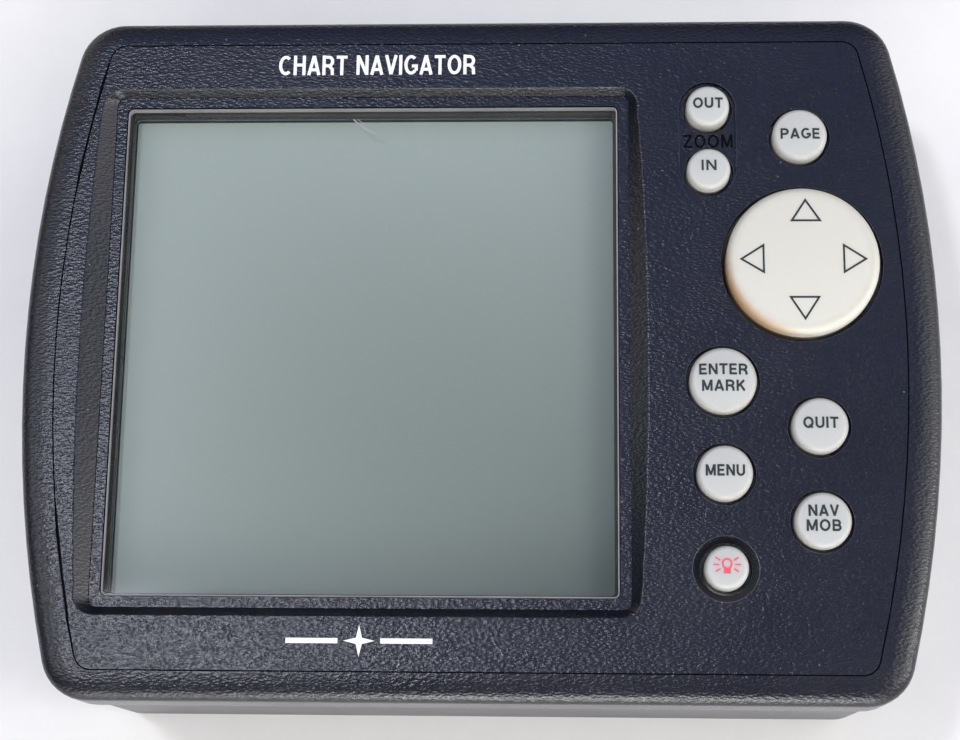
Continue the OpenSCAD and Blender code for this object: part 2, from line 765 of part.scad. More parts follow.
front_housing();
rear_housing();
housing_gasket();
housing_screws();
display_window();
window_tape();
dust_gasket();
lcd_bezel();
front_polariser();
lcd_glass();
backlight_diffuser();
backlight_guide();
backlight_lamp();
lcd_chassis();
lcd_driver_board();
lcd_flex_cable();
front_screws();
keypad_board();
contact_pads();
keypad_mat();
keypad_flex_cable();
main_board();
board_screws();
processor_chip();
memory_chips();
capacitors();
beeper();
backup_battery();
board_connectors();
receiver_board();
receiver_shield();
antenna_patch();
antenna_ground_plate();
antenna_coax();
antenna_socket();
antenna_insulator();
antenna_nut();
power_socket();
power_contacts();
power_nut();
power_seal();
power_wires();
bracket_inserts();
blank_label();
card_socket();
data_card();
door_seal();
door_hinge_pin();
card_door();
rocker_post();
rocker_gimbal();
rocker_pad();
for (k = KEYS) round_key(k[1], k[2], k[3], [0.88, 0.89, 0.87]);
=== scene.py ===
"""Visual model of a panel-mount map navigator lying on its back on a pale table.

Each sub-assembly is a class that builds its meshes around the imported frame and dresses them.
Lengths are written in millimetres and turned to metres where a mesh is made.
"""

import logging
import math
from dataclasses import dataclass, field
from enum import Enum
from typing import Callable, Iterable, Optional, Sequence

import bmesh
import bpy
from mathutils import Matrix, Vector


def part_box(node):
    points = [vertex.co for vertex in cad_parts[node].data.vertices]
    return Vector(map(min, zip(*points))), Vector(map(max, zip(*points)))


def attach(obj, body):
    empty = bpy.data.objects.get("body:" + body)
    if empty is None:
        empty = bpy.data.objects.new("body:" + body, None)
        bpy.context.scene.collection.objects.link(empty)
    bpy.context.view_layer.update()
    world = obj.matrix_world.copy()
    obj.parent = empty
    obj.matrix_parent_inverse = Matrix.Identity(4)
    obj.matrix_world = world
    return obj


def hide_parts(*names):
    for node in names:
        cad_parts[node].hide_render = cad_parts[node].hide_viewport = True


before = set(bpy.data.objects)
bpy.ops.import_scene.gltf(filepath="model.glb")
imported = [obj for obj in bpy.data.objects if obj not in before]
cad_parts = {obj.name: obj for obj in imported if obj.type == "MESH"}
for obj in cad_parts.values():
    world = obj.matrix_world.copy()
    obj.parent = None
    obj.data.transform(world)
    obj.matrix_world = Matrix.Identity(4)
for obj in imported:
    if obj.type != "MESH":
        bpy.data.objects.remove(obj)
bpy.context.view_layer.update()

logging.basicConfig(level=logging.INFO, format="%(levelname)s %(message)s")
LOG = logging.getLogger("navigator")

MM = 0.001
Point = tuple[float, float]


def box_mm(node: str) -> tuple[Vector, Vector]:
    """A CAD node's box.

    Args:
        node: The CAD node's name.

    Returns:
        Its low and high corners in millimetres.
    """
    low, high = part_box(node)
    return low / MM, high / MM


def middle_of(node: str) -> Point:
    """Where a CAD node's upright axis stands.

    Args:
        node: The CAD node's name.

    Returns:
        Its place to a tenth of a millimetre: faceted circles end a few microns short.
    """
    low, high = box_mm(node)
    return (round((low.x + high.x) / 2, 1), round((low.y + high.y) / 2, 1))


# Height of the bezel's flat face
FACE_Z = round(box_mm("front_housing")[1].z, 1)


# ---------------------------------------------------------------- materials


def linear_rgba(code: str, alpha: float = 1.0) -> tuple[float, float, float, float]:
    """Turns an sRGB hex colour to linear values.

    Args:
        code: Six hex digits, with or without a leading hash.
        alpha: The fourth value.

    Returns:
        Linear red, green and blue, and alpha.
    """
    code = code.lstrip("#")
    out = []
    for i in (0, 2, 4):
        v = int(code[i : i + 2], 16) / 255
        out.append(v / 12.92 if v <= 0.04045 else ((v + 0.055) / 1.055) ** 2.4)
    return (out[0], out[1], out[2], alpha)


def per_metre(size_mm: float) -> float:
    """Texture scale whose features are about size_mm across."""
    return 1000.0 / size_mm


class NodeBench:
    """A node tree under construction."""

    def __init__(self, tree: bpy.types.NodeTree) -> None:
        """Empties the tree.

        Args:
            tree: The node tree to fill.
        """
        self.tree = tree
        self.tree.nodes.clear()

    def add(
        self,
        kind: str,
        values: Optional[dict] = None,
        links: Optional[dict] = None,
        **settings: object,
    ) -> bpy.types.Node:
        """Adds one node with its settings, socket values and incoming links.

        Args:
            kind: Blender's node type.
            values: Socket name or index to a constant value.
            links: Socket name or index to the output socket that feeds it.
            **settings: Attributes set on the node.

        Returns:
            The new node.
        """
        node = self.tree.nodes.new(kind)
        for key, value in settings.items():
            setattr(node, key, value)
        for key, value in (values or {}).items():
            node.inputs[key].default_value = value
        for key, source in (links or {}).items():
            self.tree.links.new(source, node.inputs[key])
        return node

    def math(self, operation: str, *terms: object) -> bpy.types.NodeSocket:
        """Joins values and outputs with one arithmetic step.

        Args:
            operation: Blender's name for the step.
            *terms: Numbers or output sockets, in order.

        Returns:
            The result's output socket.
        """
        fixed = {i: t for i, t in enumerate(terms) if isinstance(t, (int, float))}
        linked = {i: t for i, t in enumerate(terms) if not isinstance(t, (int, float))}
        return self.add("ShaderNodeMath", fixed, linked, operation=operation).outputs[0]

    def blend(
        self, factor: bpy.types.NodeSocket, first: object, second: object
    ) -> bpy.types.NodeSocket:
        """Mixes two colours.

        Args:
            factor: The share of the second colour.
            first: A colour or an output socket.
            second: A colour or an output socket.

        Returns:
            The mixed colour's output socket.
        """
        sides = {6: first, 7: second}
        fixed = {i: c for i, c in sides.items() if isinstance(c, tuple)}
        linked = {i: c for i, c in sides.items() if not isinstance(c, tuple)}
        mixer = self.add("ShaderNodeMix", data_type="RGBA", clamp_factor=True)
        for i, colour in fixed.items():
            mixer.inputs[i].default_value = colour
        for i, source in {0: factor, **linked}.items():
            self.tree.links.new(source, mixer.inputs[i])
        return mixer.outputs[2]


class MaterialBench(NodeBench):
    """A material under construction, with its output and Principled shader already joined."""

    def __init__(self, name: str) -> None:
        """Starts a node tree.

        Args:
            name: The finish's name in a maker's words.
        """
        self.material = bpy.data.materials.new(name)
        self.material.use_nodes = True
        super().__init__(self.material.node_tree)
        self.out = self.add("ShaderNodeOutputMaterial")
        self.shader = self.add("ShaderNodeBsdfPrincipled")
        self.tree.links.new(self.shader.outputs["BSDF"], self.out.inputs["Surface"])
        self.coords = self.add("ShaderNodeTexCoord").outputs["Object"]

    def set(self, **values: object) -> None:
        """Sets constants on the Principled shader, with underscores for spaces in socket names."""
        for key, value in values.items():
            self.shader.inputs[key.replace("_", " ")].default_value = value

    def feed(self, socket: str, source: bpy.types.NodeSocket) -> None:
        """Links an output to one of the Principled shader's sockets."""
        self.tree.links.new(source, self.shader.inputs[socket])

    def noise(
        self,
        size_mm: float,
        detail: float,
        roughness: float = 0.5,
        place: Optional[bpy.types.NodeSocket] = None,
    ) -> bpy.types.NodeSocket:
        """Cloudy noise.

        Args:
            size_mm: About how wide its patches are.
            detail: Octaves.
            roughness: Weight of the finer octaves.
            place: Where it is read; the object's own place when left out.

        Returns:
            A value output.
        """
        values = {"Scale": per_metre(size_mm), "Detail": detail, "Roughness": roughness}
        return self.add("ShaderNodeTexNoise", values, {"Vector": place or self.coords}).outputs["Fac"]

    def ramp(
        self, factor: bpy.types.NodeSocket, stops: tuple[tuple[float, str], tuple[float, str]]
    ) -> bpy.types.NodeSocket:
        """Fades from one colour to another.

        Args:
            factor: The value that drives the fade.
            stops: Two places on the fade, each with its hex colour.

        Returns:
            A colour output.
        """
        node = self.add("ShaderNodeValToRGB", links={"Fac": factor})
        for i, (position, colour) in enumerate(stops):
            node.color_ramp.elements[i].position = position
            node.color_ramp.elements[i].color = linear_rgba(colour)
        return node.outputs["Color"]

    def roughen(self, value: bpy.types.NodeSocket, low: float, high: float) -> None:
        """Feeds the shader's roughness from a value, stretched between two limits."""
        stretched = self.add("ShaderNodeMapRange", {"To Min": low, "To Max": high}, {"Value": value})
        self.feed("Roughness", stretched.outputs["Result"])

    def emboss(self, height: bpy.types.NodeSocket, depth_mm: float, strength: float = 1.0) -> None:
        """Feeds the shader's normal from a height field of the given depth."""
        settings = {"Strength": strength, "Distance": depth_mm * MM}
        bump = self.add("ShaderNodeBump", settings, {"Height": height})
        self.feed("Normal", bump.outputs["Normal"])


class Surface:
    """A named look that is painted once and handed out as one material."""

    name: str

    def paint(self, bench: MaterialBench) -> None:
        """Fills the bench's node tree.

        Args:
            bench: The material being made.
        """
        raise NotImplementedError

    def material(self) -> bpy.types.Material:
        """Paints the material the first time and hands the same one out afterwards."""
        found = bpy.data.materials.get(self.name)
        if found is None:
            bench = MaterialBench(self.name)
            self.paint(bench)
            found = bench.material
        return found


class Pattern(Enum):
    """How a surface's small relief was made."""

    MOULDED = "moulded"
    BRUSHED = "brushed"
    SPECKLED = "speckled"
    WOVEN = "woven"


@dataclass(frozen=True)
class Finish(Surface):
    """One real surface: a material and the process that left its texture."""

    name: str
    base: str
    second: str
    pattern: Pattern = Pattern.MOULDED
    size_mm: float = 0.6
    relief_mm: float = 0.01
    roughness: float = 0.5
    spread: float = 0.12
    metallic: float = 0.0
    subsurface: float = 0.0
    specular: float = 0.5

    def relief(self, bench: MaterialBench) -> bpy.types.NodeSocket:
        """The pattern's height field, from 0 to 1.

        Args:
            bench: The material being made.

        Returns:
            A value output.
        """
        scale = per_metre(self.size_mm)
        place = {"Vector": bench.coords}
        if self.pattern is Pattern.BRUSHED:
            drawn = bench.add("ShaderNodeMapping", {"Scale": (1.0, 0.04, 0.04)}, place)
            return bench.noise(self.size_mm, 3.0, place=drawn.outputs["Vector"])
        if self.pattern is Pattern.WOVEN:
            weave = {"Scale": scale * 0.16, "Distortion": 1.5, "Detail": 2.0}
            return bench.add(
                "ShaderNodeTexWave", weave, place, bands_direction="DIAGONAL"
            ).outputs["Fac"]
        if self.pattern is Pattern.SPECKLED:
            cells = {"Scale": scale, "Randomness": 1.0}
            return bench.add(
                "ShaderNodeTexVoronoi", cells, place, feature="SMOOTH_F1"
            ).outputs["Distance"]
        return bench.noise(self.size_mm, 4.0, 0.6)

    def paint(self, bench: MaterialBench) -> None:
        """Two tones and a slow change of shine over the process's relief."""
        height = self.relief(bench)
        cloud = bench.noise(9.0, 5.0)
        blend = bench.math("MULTIPLY_ADD", height, 0.35, cloud)
        bench.feed("Base Color", bench.ramp(blend, ((0.42, self.base), (0.95, self.second))))
        bench.roughen(cloud, self.roughness - self.spread / 2, self.roughness + self.spread / 2)
        bench.emboss(height, self.relief_mm)
        bench.set(Metallic=self.metallic, Specular_IOR_Level=self.specular)
        if self.subsurface:
            bench.set(Subsurface_Weight=self.subsurface, Subsurface_Radius=(1.0, 0.9, 0.8))
            bench.set(Subsurface_Scale=0.8 * MM)


@dataclass(frozen=True)
class GrainedCase(Surface):
    """Dark ABS moulded against an etched tool: pebble grain that glitters where light grazes it."""

    name: str = "moulded_abs_navy_black"
    base: str = "#05050b"
    bloom: str = "#090a13"
    # Colour of the painted highlight on the grain crests
    painted_crest_glint: str = "#141520"
    pebble_mm: float = 0.48
    pore_mm: float = 0.20
    relief_mm: float = 0.075
    roughness: float = 0.24

    def grain(self, bench: MaterialBench) -> bpy.types.NodeSocket:
        """Height of the grain: warped pebbles, drawn out one way, with fine pores on top."""
        warp = bench.add(
            "ShaderNodeTexNoise",
            {"Scale": per_metre(1.6), "Detail": 2.0},
            {"Vector": bench.coords},
        )
        bent = bench.add(
            "ShaderNodeVectorMath",
            {"Scale": 0.5 * MM},
            {0: warp.outputs["Color"]},
            operation="SCALE",
        )
        place = bench.add(
            "ShaderNodeVectorMath",
            links={0: bench.coords, 1: bent.outputs[0]},
            operation="ADD",
        ).outputs[0]
        drawn = bench.add(
            "ShaderNodeMapping",
            {"Rotation": (0.0, 0.0, math.radians(-38.0)), "Scale": (0.6, 1.3, 1.0)},
            {"Vector": place},
        ).outputs["Vector"]
        pebbles = bench.add(
            "ShaderNodeTexVoronoi",
            {"Scale": per_metre(self.pebble_mm), "Randomness": 1.0, "Smoothness": 0.5},
            {"Vector": drawn},
            feature="SMOOTH_F1",
        ).outputs["Distance"]
        pores = bench.noise(self.pore_mm, 2.0, 0.55)
        return bench.math("MULTIPLY_ADD", pores, 0.45, pebbles)

    def paint(self, bench: MaterialBench) -> None:
        """Two sizes of grain, a faint bloom of handling, a painted highlight that lightens the grain's
        crests, and a few dust specks.
        """
        height = self.grain(bench)
        cloud = bench.noise(24.0, 6.0, 0.6)
        tint = bench.ramp(cloud, ((0.35, self.base), (0.75, self.bloom)))
        specks = bench.add(
            "ShaderNodeTexVoronoi",
            {"Scale": per_metre(5.5), "Randomness": 1.0},
            {"Vector": bench.coords},
            feature="F1",
        ).outputs["Distance"]
        dust = bench.math("LESS_THAN", specks, 0.028)
        # Painted highlight: the crests of the grain are lightened to stand in for their glints.
        painted_crest_glint = bench.add(
            "ShaderNodeMapRange",
            {"From Min": 0.45, "From Max": 0.95, "To Max": 0.5},
            {"Value": height},
            interpolation_type="SMOOTHSTEP",
        ).outputs["Result"]
        crest_glint_tint = bench.blend(painted_crest_glint, tint, linear_rgba(self.painted_crest_glint))
        bench.feed("Base Color", bench.blend(dust, crest_glint_tint, linear_rgba("#5f616b")))
        bench.roughen(cloud, self.roughness - 0.05, self.roughness + 0.12)
        bench.emboss(height, self.relief_mm)
        bench.set(IOR=1.53)


@dataclass(frozen=True)
class SiliconeKey(Surface):
    """Milky silicone with painted shade darkening its shoulder: soft light inside, satin outside."""

    name: str
    base: str
    edge: str
    centre_mm: Point
    radius_mm: float
    stain: str = "#a87c44"
    stain_side: tuple[float, float, float] = (-0.75, -0.6, 0.0)
    stain_amount: float = 0.0

    def paint(self, bench: MaterialBench) -> None:
        """Colour falls off towards the shoulder as painted shade, with a stain on one side where there is
        any.
        """
        centred = bench.add(
            "ShaderNodeVectorMath",
            {1: (self.centre_mm[0] * MM, self.centre_mm[1] * MM, 0.0)},
            {0: bench.coords},
            operation="SUBTRACT",
        ).outputs[0]
        flat = bench.add(
            "ShaderNodeVectorMath",
            {1: (1 / (self.radius_mm * MM), 1 / (self.radius_mm * MM), 0.0)},
            {0: centred},
            operation="MULTIPLY",
        ).outputs[0]
        reach = bench.add(
            "ShaderNodeVectorMath", links={0: flat}, operation="LENGTH"
        ).outputs["Value"]
        mottled = bench.noise(1.4, 4.0)
        # Painted shade: the colour darkens towards the shoulder, with a little random mottle.
        painted_shoulder_shade = bench.math("MULTIPLY_ADD", mottled, 0.14, reach)
        colour = bench.ramp(painted_shoulder_shade, ((0.90, self.base), (1.10, self.edge)))
        if self.stain_amount:
            lean = bench.add(
                "ShaderNodeVectorMath", {1: self.stain_side}, {0: flat}, operation="DOT_PRODUCT"
            ).outputs["Value"]
            edge_on = bench.math("MULTIPLY", lean, bench.math("POWER", reach, 5.0))
            patch = bench.math("MULTIPLY_ADD", mottled, 0.12, edge_on)
            amount = bench.add(
                "ShaderNodeMapRange",
                {"From Min": 0.45, "From Max": 1.02, "To Max": self.stain_amount},
                {"Value": patch},
                interpolation_type="SMOOTHSTEP",
            ).outputs["Result"]
            colour = bench.blend(amount, colour, linear_rgba(self.stain))
        bench.feed("Base Color", colour)
        bench.roughen(mottled, 0.38, 0.52)
        bench.emboss(bench.noise(0.3, 3.0), 0.006)
        bench.set(IOR=1.41, Subsurface_Weight=0.5, Subsurface_Radius=(1.0, 0.92, 0.82))
        bench.set(Subsurface_Scale=1.6 * MM)


@dataclass(frozen=True)
class ClearPlate(Surface):
    """Cast acrylic, polished: nearly invisible face on, with a clean reflection and a little haze."""

    name: str = "polished_acrylic_plate"

    def paint(self, bench: MaterialBench) -> None:
        """Light passes straight through, and both sides reflect more the flatter they are seen."""
        bench.roughen(bench.noise(18.0, 5.0), 0.03, 0.10)
        bench.set(Base_Color=linear_rgba("#10110f"), IOR=1.49)
        clear = bench.add("ShaderNodeBsdfTransparent", {"Color": linear_rgba("#fefefe")})
        tilt = bench.add("ShaderNodeLayerWeight", {"Blend": 0.5}).outputs["Facing"]
        gleam = bench.math("MULTIPLY_ADD", bench.math("POWER", tilt, 5.0), 0.9, 0.04)
        mix = bench.add(
            "ShaderNodeMixShader",
            links={0: gleam, 1: clear.outputs["BSDF"], 2: bench.shader.outputs["BSDF"]},
        )
        bench.tree.links.new(mix.outputs["Shader"], bench.out.inputs["Surface"])


@dataclass(frozen=True)
class DisplayFilm(Surface):
    """Reflective LCD behind an anti-glare film: grey-green, with painted shade that leaves it palest along
    the top and darkest towards the bottom right.
    """

    name: str = "anti_glare_polariser_film"
    pale: str = "#a6b2aa"
    deep: str = "#68736a"
    centre_mm: Point = middle_of("front_polariser")
    half_mm: float = 44.7
    dot_mm: float = 0.36

    def paint(self, bench: MaterialBench) -> None:
        """Painted shade over the whole film, darker towards the bottom right and in the middle, and a fine
        dot pitch.
        """
        placed = bench.add(
            "ShaderNodeMapping",
            {
                "Location": (self.centre_mm[0] * MM, self.centre_mm[1] * MM, 0.0),
                "Scale": (self.half_mm * MM,) * 3,
            },
            {"Vector": bench.coords},
            vector_type="TEXTURE",
        )
        split = bench.add("ShaderNodeSeparateXYZ", links={"Vector": placed.outputs["Vector"]})
        x, y = split.outputs["X"], split.outputs["Y"]
        # Painted shade: the tone darkens towards the bottom, most at the right, and in the middle.
        low = bench.math("SUBTRACT", 1.0, y)
        corner = bench.math("MULTIPLY", x, low)
        painted_slant_shade = bench.math("MULTIPLY_ADD", corner, 0.17, bench.math("MULTIPLY_ADD", low, 0.26, 0.08))
        inside_x, inside_y = (
            bench.math("SUBTRACT", 1.0, bench.math("MULTIPLY", side, side)) for side in (x, y)
        )
        painted_middle_shade = bench.math("MULTIPLY", inside_x, inside_y)
        tone = bench.math("MULTIPLY_ADD", painted_middle_shade, 0.2, painted_slant_shade)
        dots = bench.noise(self.dot_mm, 1.0)
        grainy = bench.math("MULTIPLY_ADD", dots, 0.06, tone)
        bench.feed("Base Color", bench.ramp(grainy, ((0.0, self.pale), (1.0, self.deep))))
        bench.emboss(dots, 0.004, strength=0.6)
        bench.set(Roughness=0.55, IOR=1.48)


# Named finishes: name, two colours, pattern, size and depth of its relief in mm, roughness.
# The comments say what the process gives the eye.
CASE_FRONT = GrainedCase()
# The rear moulding has a finer spark texture and reads a little greyer.
# Its third colour is the painted highlight on the grain crests.
CASE_REAR = GrainedCase("moulded_abs_rear", "#101016", "#1a1b24", "#242632", 0.5, 0.22, 0.03, 0.3)
# Moulding edges rubbed smooth by handling, so the grain is gone; their lighter colour is a painted
# highlight.
WORN_EDGE_AND_HIGHLIGHT = Finish("abs_edge_rubbed_smooth_painted_highlight", "#5c5d69", "#74757f", Pattern.MOULDED, 0.4, 0.004, 0.26)
# Pad-printed ink: flat, dense, slightly uneven at this scale.
WHITE_INK = Finish("pad_print_ink_white", "#e4e4e6", "#f2f2f3", Pattern.MOULDED, 0.25, 0.003, 0.45)
GREY_INK = Finish(
    "pad_print_ink_grey_green", "#222a28", "#303836", Pattern.MOULDED, 0.25, 0.003, 0.55, specular=0.3
)
RED_INK = Finish("pad_print_ink_red", "#e8384f", "#f0566a", Pattern.MOULDED, 0.25, 0.003, 0.5)
# Painted shade for the grooves: near black, with no grain and little shine, so the panel line and the zoom
# recess wall read dark.
GROOVE_SHADE = Finish(
    "abs_groove_painted_shade", "#020205", "#050508", Pattern.MOULDED, 0.3, 0.002, 0.7, specular=0.1
)
BLACK_INK = Finish(
    "engraved_line_black", "#020203", "#050507", Pattern.MOULDED, 0.25, 0.003, 0.8, specular=0.08
)
# Laser-cut acrylic edge: frosted, so it glows where the face stays clear.
PLATE_EDGE = Finish("acrylic_edge_frosted", "#8c8a8a", "#a8a5a4", Pattern.MOULDED, 0.3, 0.008, 0.35)
SEAL_TAPE = Finish("acrylic_foam_tape", "#33352f", "#43453f", Pattern.MOULDED, 0.5, 0.02, 0.7)
GREY_FOAM = Finish("open_cell_foam", "#4c4f52", "#6a6d70", Pattern.SPECKLED, 0.5, 0.08, 0.9)
BLACK_RUBBER = Finish("moulded_nitrile_rubber", "#101011", "#1d1d1e", Pattern.MOULDED, 0.5, 0.01, 0.65)
DARK_STEEL = Finish(
    "black_oxide_steel", "#3a3c3a", "#4c4e4b", Pattern.BRUSHED, 0.3, 0.004, 0.45, metallic=0.8
)
ZINC_STEEL = Finish(
    "zinc_plated_steel", "#a9abad", "#c6c8ca", Pattern.BRUSHED, 0.25, 0.003, 0.33, metallic=1.0
)
LCD_GLASS = Finish("liquid_crystal_cell", "#6d7672", "#7d8682", Pattern.MOULDED, 1.0, 0.002, 0.12)
DIFFUSER = Finish("frosted_polyester_film", "#e2e4e1", "#eeefed", Pattern.MOULDED, 0.2, 0.004, 0.6)
ACRYLIC = Finish("moulded_acrylic_guide", "#cfdad6", "#e0e8e5", Pattern.SPECKLED, 1.2, 0.02, 0.2)
LAMP_GLASS = Finish("phosphor_coated_tube", "#f0efe4", "#fafaf2", Pattern.MOULDED, 0.3, 0.003, 0.3)
WHITE_ABS = Finish("moulded_white_abs", "#d5d5cf", "#e4e4df", Pattern.MOULDED, 0.4, 0.01, 0.5)
GREEN_BOARD = Finish("green_solder_mask", "#0e4a26", "#1c6a3a", Pattern.WOVEN, 0.5, 0.008, 0.35)
POLYIMIDE = Finish("polyimide_flex", "#a8621a", "#c07c2c", Pattern.WOVEN, 0.4, 0.004, 0.3)
GOLD = Finish("hard_gold_plate", "#d6ac55", "#e8c678", Pattern.MOULDED, 0.2, 0.002, 0.25, metallic=1.0)
SILICONE = Finish(
    "silicone_sheet", "#c4c6c2", "#d4d6d2", Pattern.MOULDED, 0.5, 0.01, 0.5, subsurface=0.2
)
EPOXY = Finish("moulded_epoxy", "#141416", "#232326", Pattern.MOULDED, 0.25, 0.008, 0.6)
CAN_SLEEVE = Finish("sleeved_aluminium_can", "#2a3058", "#3a4270", Pattern.BRUSHED, 0.4, 0.004, 0.35)
CELL_STEEL = Finish(
    "nickel_plated_steel", "#b9babc", "#d2d3d4", Pattern.BRUSHED, 0.2, 0.003, 0.28, metallic=1.0
)
NYLON_CREAM = Finish("moulded_nylon_cream", "#cfc9b0", "#ded9c4", Pattern.MOULDED, 0.4, 0.008, 0.5)
TIN_PLATE = Finish(
    "bright_tin_plate", "#b4b6b8", "#d0d2d3", Pattern.BRUSHED, 0.3, 0.004, 0.3, metallic=1.0
)
CERAMIC = Finish("fired_ceramic", "#b8a888", "#c9bb9f", Pattern.SPECKLED, 0.4, 0.01, 0.6)
BRASS = Finish("turned_brass", "#b98f45", "#d3ab62", Pattern.BRUSHED, 0.25, 0.004, 0.3, metallic=1.0)
CABLE = Finish("extruded_cable_jacket", "#101011", "#1e1e20", Pattern.MOULDED, 0.4, 0.006, 0.5)
NICKEL = Finish(
    "nickel_plated_brass", "#b3aea3", "#cfcabf", Pattern.BRUSHED, 0.25, 0.003, 0.25, metallic=1.0
)
PTFE = Finish("turned_ptfe", "#e4e4e0", "#f0f0ed", Pattern.MOULDED, 0.3, 0.004, 0.4, subsurface=0.2)
NYLON_BLACK = Finish("moulded_nylon_black", "#0e0e10", "#1b1b1e", Pattern.MOULDED, 0.35, 0.01, 0.5)
WIRE_RED = Finish("extruded_pvc_red", "#a31712", "#c22a22", Pattern.MOULDED, 0.4, 0.004, 0.35)
FOIL = Finish("blank_foil_label", "#a6a8aa", "#bcbec0", Pattern.BRUSHED, 0.5, 0.004, 0.4, metallic=0.7)
CARD_GREY = Finish("moulded_card_shell", "#2b2e34", "#393d44", Pattern.MOULDED, 0.4, 0.01, 0.5)
ZINC_CAST = Finish("die_cast_zinc", "#8d8f91", "#a5a7a9", Pattern.SPECKLED, 0.4, 0.01, 0.4, metallic=1.0)

# Finish of every CAD node that is shown as it was packed.
NODE_FINISHES: dict[str, Finish] = {
    "housing_gasket": BLACK_RUBBER,
    "window_tape": SEAL_TAPE,
    "dust_gasket": GREY_FOAM,
    "lcd_bezel": DARK_STEEL,
    "lcd_glass": LCD_GLASS,
    "backlight_diffuser": DIFFUSER,
    "backlight_guide": ACRYLIC,
    "backlight_lamp": LAMP_GLASS,
    "lcd_chassis": WHITE_ABS,
    "lcd_driver_board": GREEN_BOARD,
    "lcd_flex_cable": POLYIMIDE,
    "front_screws": ZINC_STEEL,
    "keypad_board": GREEN_BOARD,
    "contact_pads": GOLD,
    "keypad_mat": SILICONE,
    "keypad_flex_cable": POLYIMIDE,
    "main_board": GREEN_BOARD,
    "board_screws": ZINC_STEEL,
    "processor_chip": EPOXY,
    "memory_chips": EPOXY,
    "capacitors": CAN_SLEEVE,
    "beeper": EPOXY,
    "backup_battery": CELL_STEEL,
    "board_connectors": NYLON_CREAM,
    "receiver_board": GREEN_BOARD,
    "receiver_shield": TIN_PLATE,
    "antenna_patch": CERAMIC,
    "antenna_ground_plate": BRASS,
    "antenna_coax": CABLE,
    "antenna_insulator": PTFE,
    "antenna_nut": NICKEL,
    "power_contacts": GOLD,
    "power_nut": NYLON_BLACK,
    "power_seal": BLACK_RUBBER,
    "power_wires": WIRE_RED,
    "card_socket": NYLON_BLACK,
    "data_card": CARD_GREY,
    "door_seal": BLACK_RUBBER,
    "door_hinge_pin": ZINC_STEEL,
    "rocker_post": WHITE_ABS,
    "rocker_gimbal": ZINC_CAST,
}


# ---------------------------------------------------------------- mesh helpers


def smooth_by_angle(bm: bmesh.types.BMesh, degrees: float = 30.0) -> None:
    """Shades faces smooth and marks edges sharper than the given angle.

    Args:
        bm: The mesh.
        degrees: Edges that turn further than this stay crisp.
    """
    limit = math.radians(degrees)
    for face in bm.faces:
        face.smooth = True
    for edge in bm.edges:
        if len(edge.link_faces) == 2:
            edge.smooth = edge.calc_face_angle(0.0) <= limit


def break_edges(
    bm: bmesh.types.BMesh,
    edges: Sequence[bmesh.types.BMEdge],
    width_mm: float,
    segments: int = 2,
    material: int = -1,
    clamp: bool = True,
) -> None:
    """Rounds edges off.

    Args:
        bm: The mesh.
        edges: The edges to round.
        width_mm: Width taken off each side.
        segments: Faces across each round.
        material: Slot of the new faces, or -1 for their neighbours' slot.
        clamp: Holds the width back where edges are short.
    """
    bmesh.ops.bevel(
        bm,
        geom=edges,
        offset=width_mm * MM,
        offset_type="OFFSET",
        affect="EDGES",
        segments=segments,
        profile=0.5,
        material=material,
        clamp_overlap=clamp,
    )


def add_peg(
    bm: bmesh.types.BMesh,
    place: tuple[float, float, float],
    radius: float,
    length: float,
    turn: Optional[Matrix] = None,
) -> None:
    """Adds an upright round peg, in millimetres.

    Args:
        bm: The mesh that receives it.
        place: Its middle.
        radius: Its radius.
        length: Its length.
        turn: A rotation that lays it down.
    """
    bmesh.ops.create_cone(
        bm,
        cap_ends=True,
        segments=24,
        radius1=radius * MM,
        radius2=radius * MM,
        depth=length * MM,
        matrix=Matrix.Translation(Vector(place) * MM) @ (turn or Matrix.Identity(4)),
    )


def domed_outline(
    radius: float,
    shoulder: float,
    height_at: Callable[[float], float],
    steps: int,
    angles: Iterable[int],
) -> list[Point]:
    """Half section of a domed top with a round shoulder, from the axis outwards.

    Args:
        radius: Outer radius.
        shoulder: Radius of the shoulder.
        height_at: Height of the dome at a distance from the axis.
        steps: Points across the dome.
        angles: Degrees of the points round the shoulder, 90 at its foot.

    Returns:
        Points of (radius, height) in millimetres.
    """
    inner = radius - shoulder
    crown = [(inner * i / steps, height_at(inner * i / steps)) for i in range(steps + 1)]
    drop = crown[-1][1] - shoulder
    turn = [
        (
            inner + shoulder * math.sin(math.radians(a)),
            drop + shoulder * math.cos(math.radians(a)),
        )
        for a in angles
    ]
    return crown + turn


def revolve(
    bm: bmesh.types.BMesh,
    outline: Sequence[tuple[float, float]],
    centre: tuple[float, float],
    steps: int = 96,
) -> None:
    """Spins an outline of (radius, height) points, in millimetres, round an upright axis.

    Args:
        bm: The mesh that receives the shape.
        outline: Points from the axis at the top to the axis at the bottom.
        centre: The axis's place.
        steps: Segments of the full turn.
    """
    verts = [bm.verts.new(((centre[0] + r) * MM, centre[1] * MM, z * MM)) for r, z in outline]
    edges = [bm.edges.new(pair) for pair in zip(verts, verts[1:])]
    bmesh.ops.spin(
        bm,
        geom=verts + edges,
        cent=(centre[0] * MM, centre[1] * MM, 0),
        axis=(0, 0, 1),
        angle=math.tau,
        steps=steps,
        use_merge=True,
    )
    bmesh.ops.remove_doubles(bm, verts=bm.verts, dist=1e-6)
    bmesh.ops.recalc_face_normals(bm, faces=bm.faces)


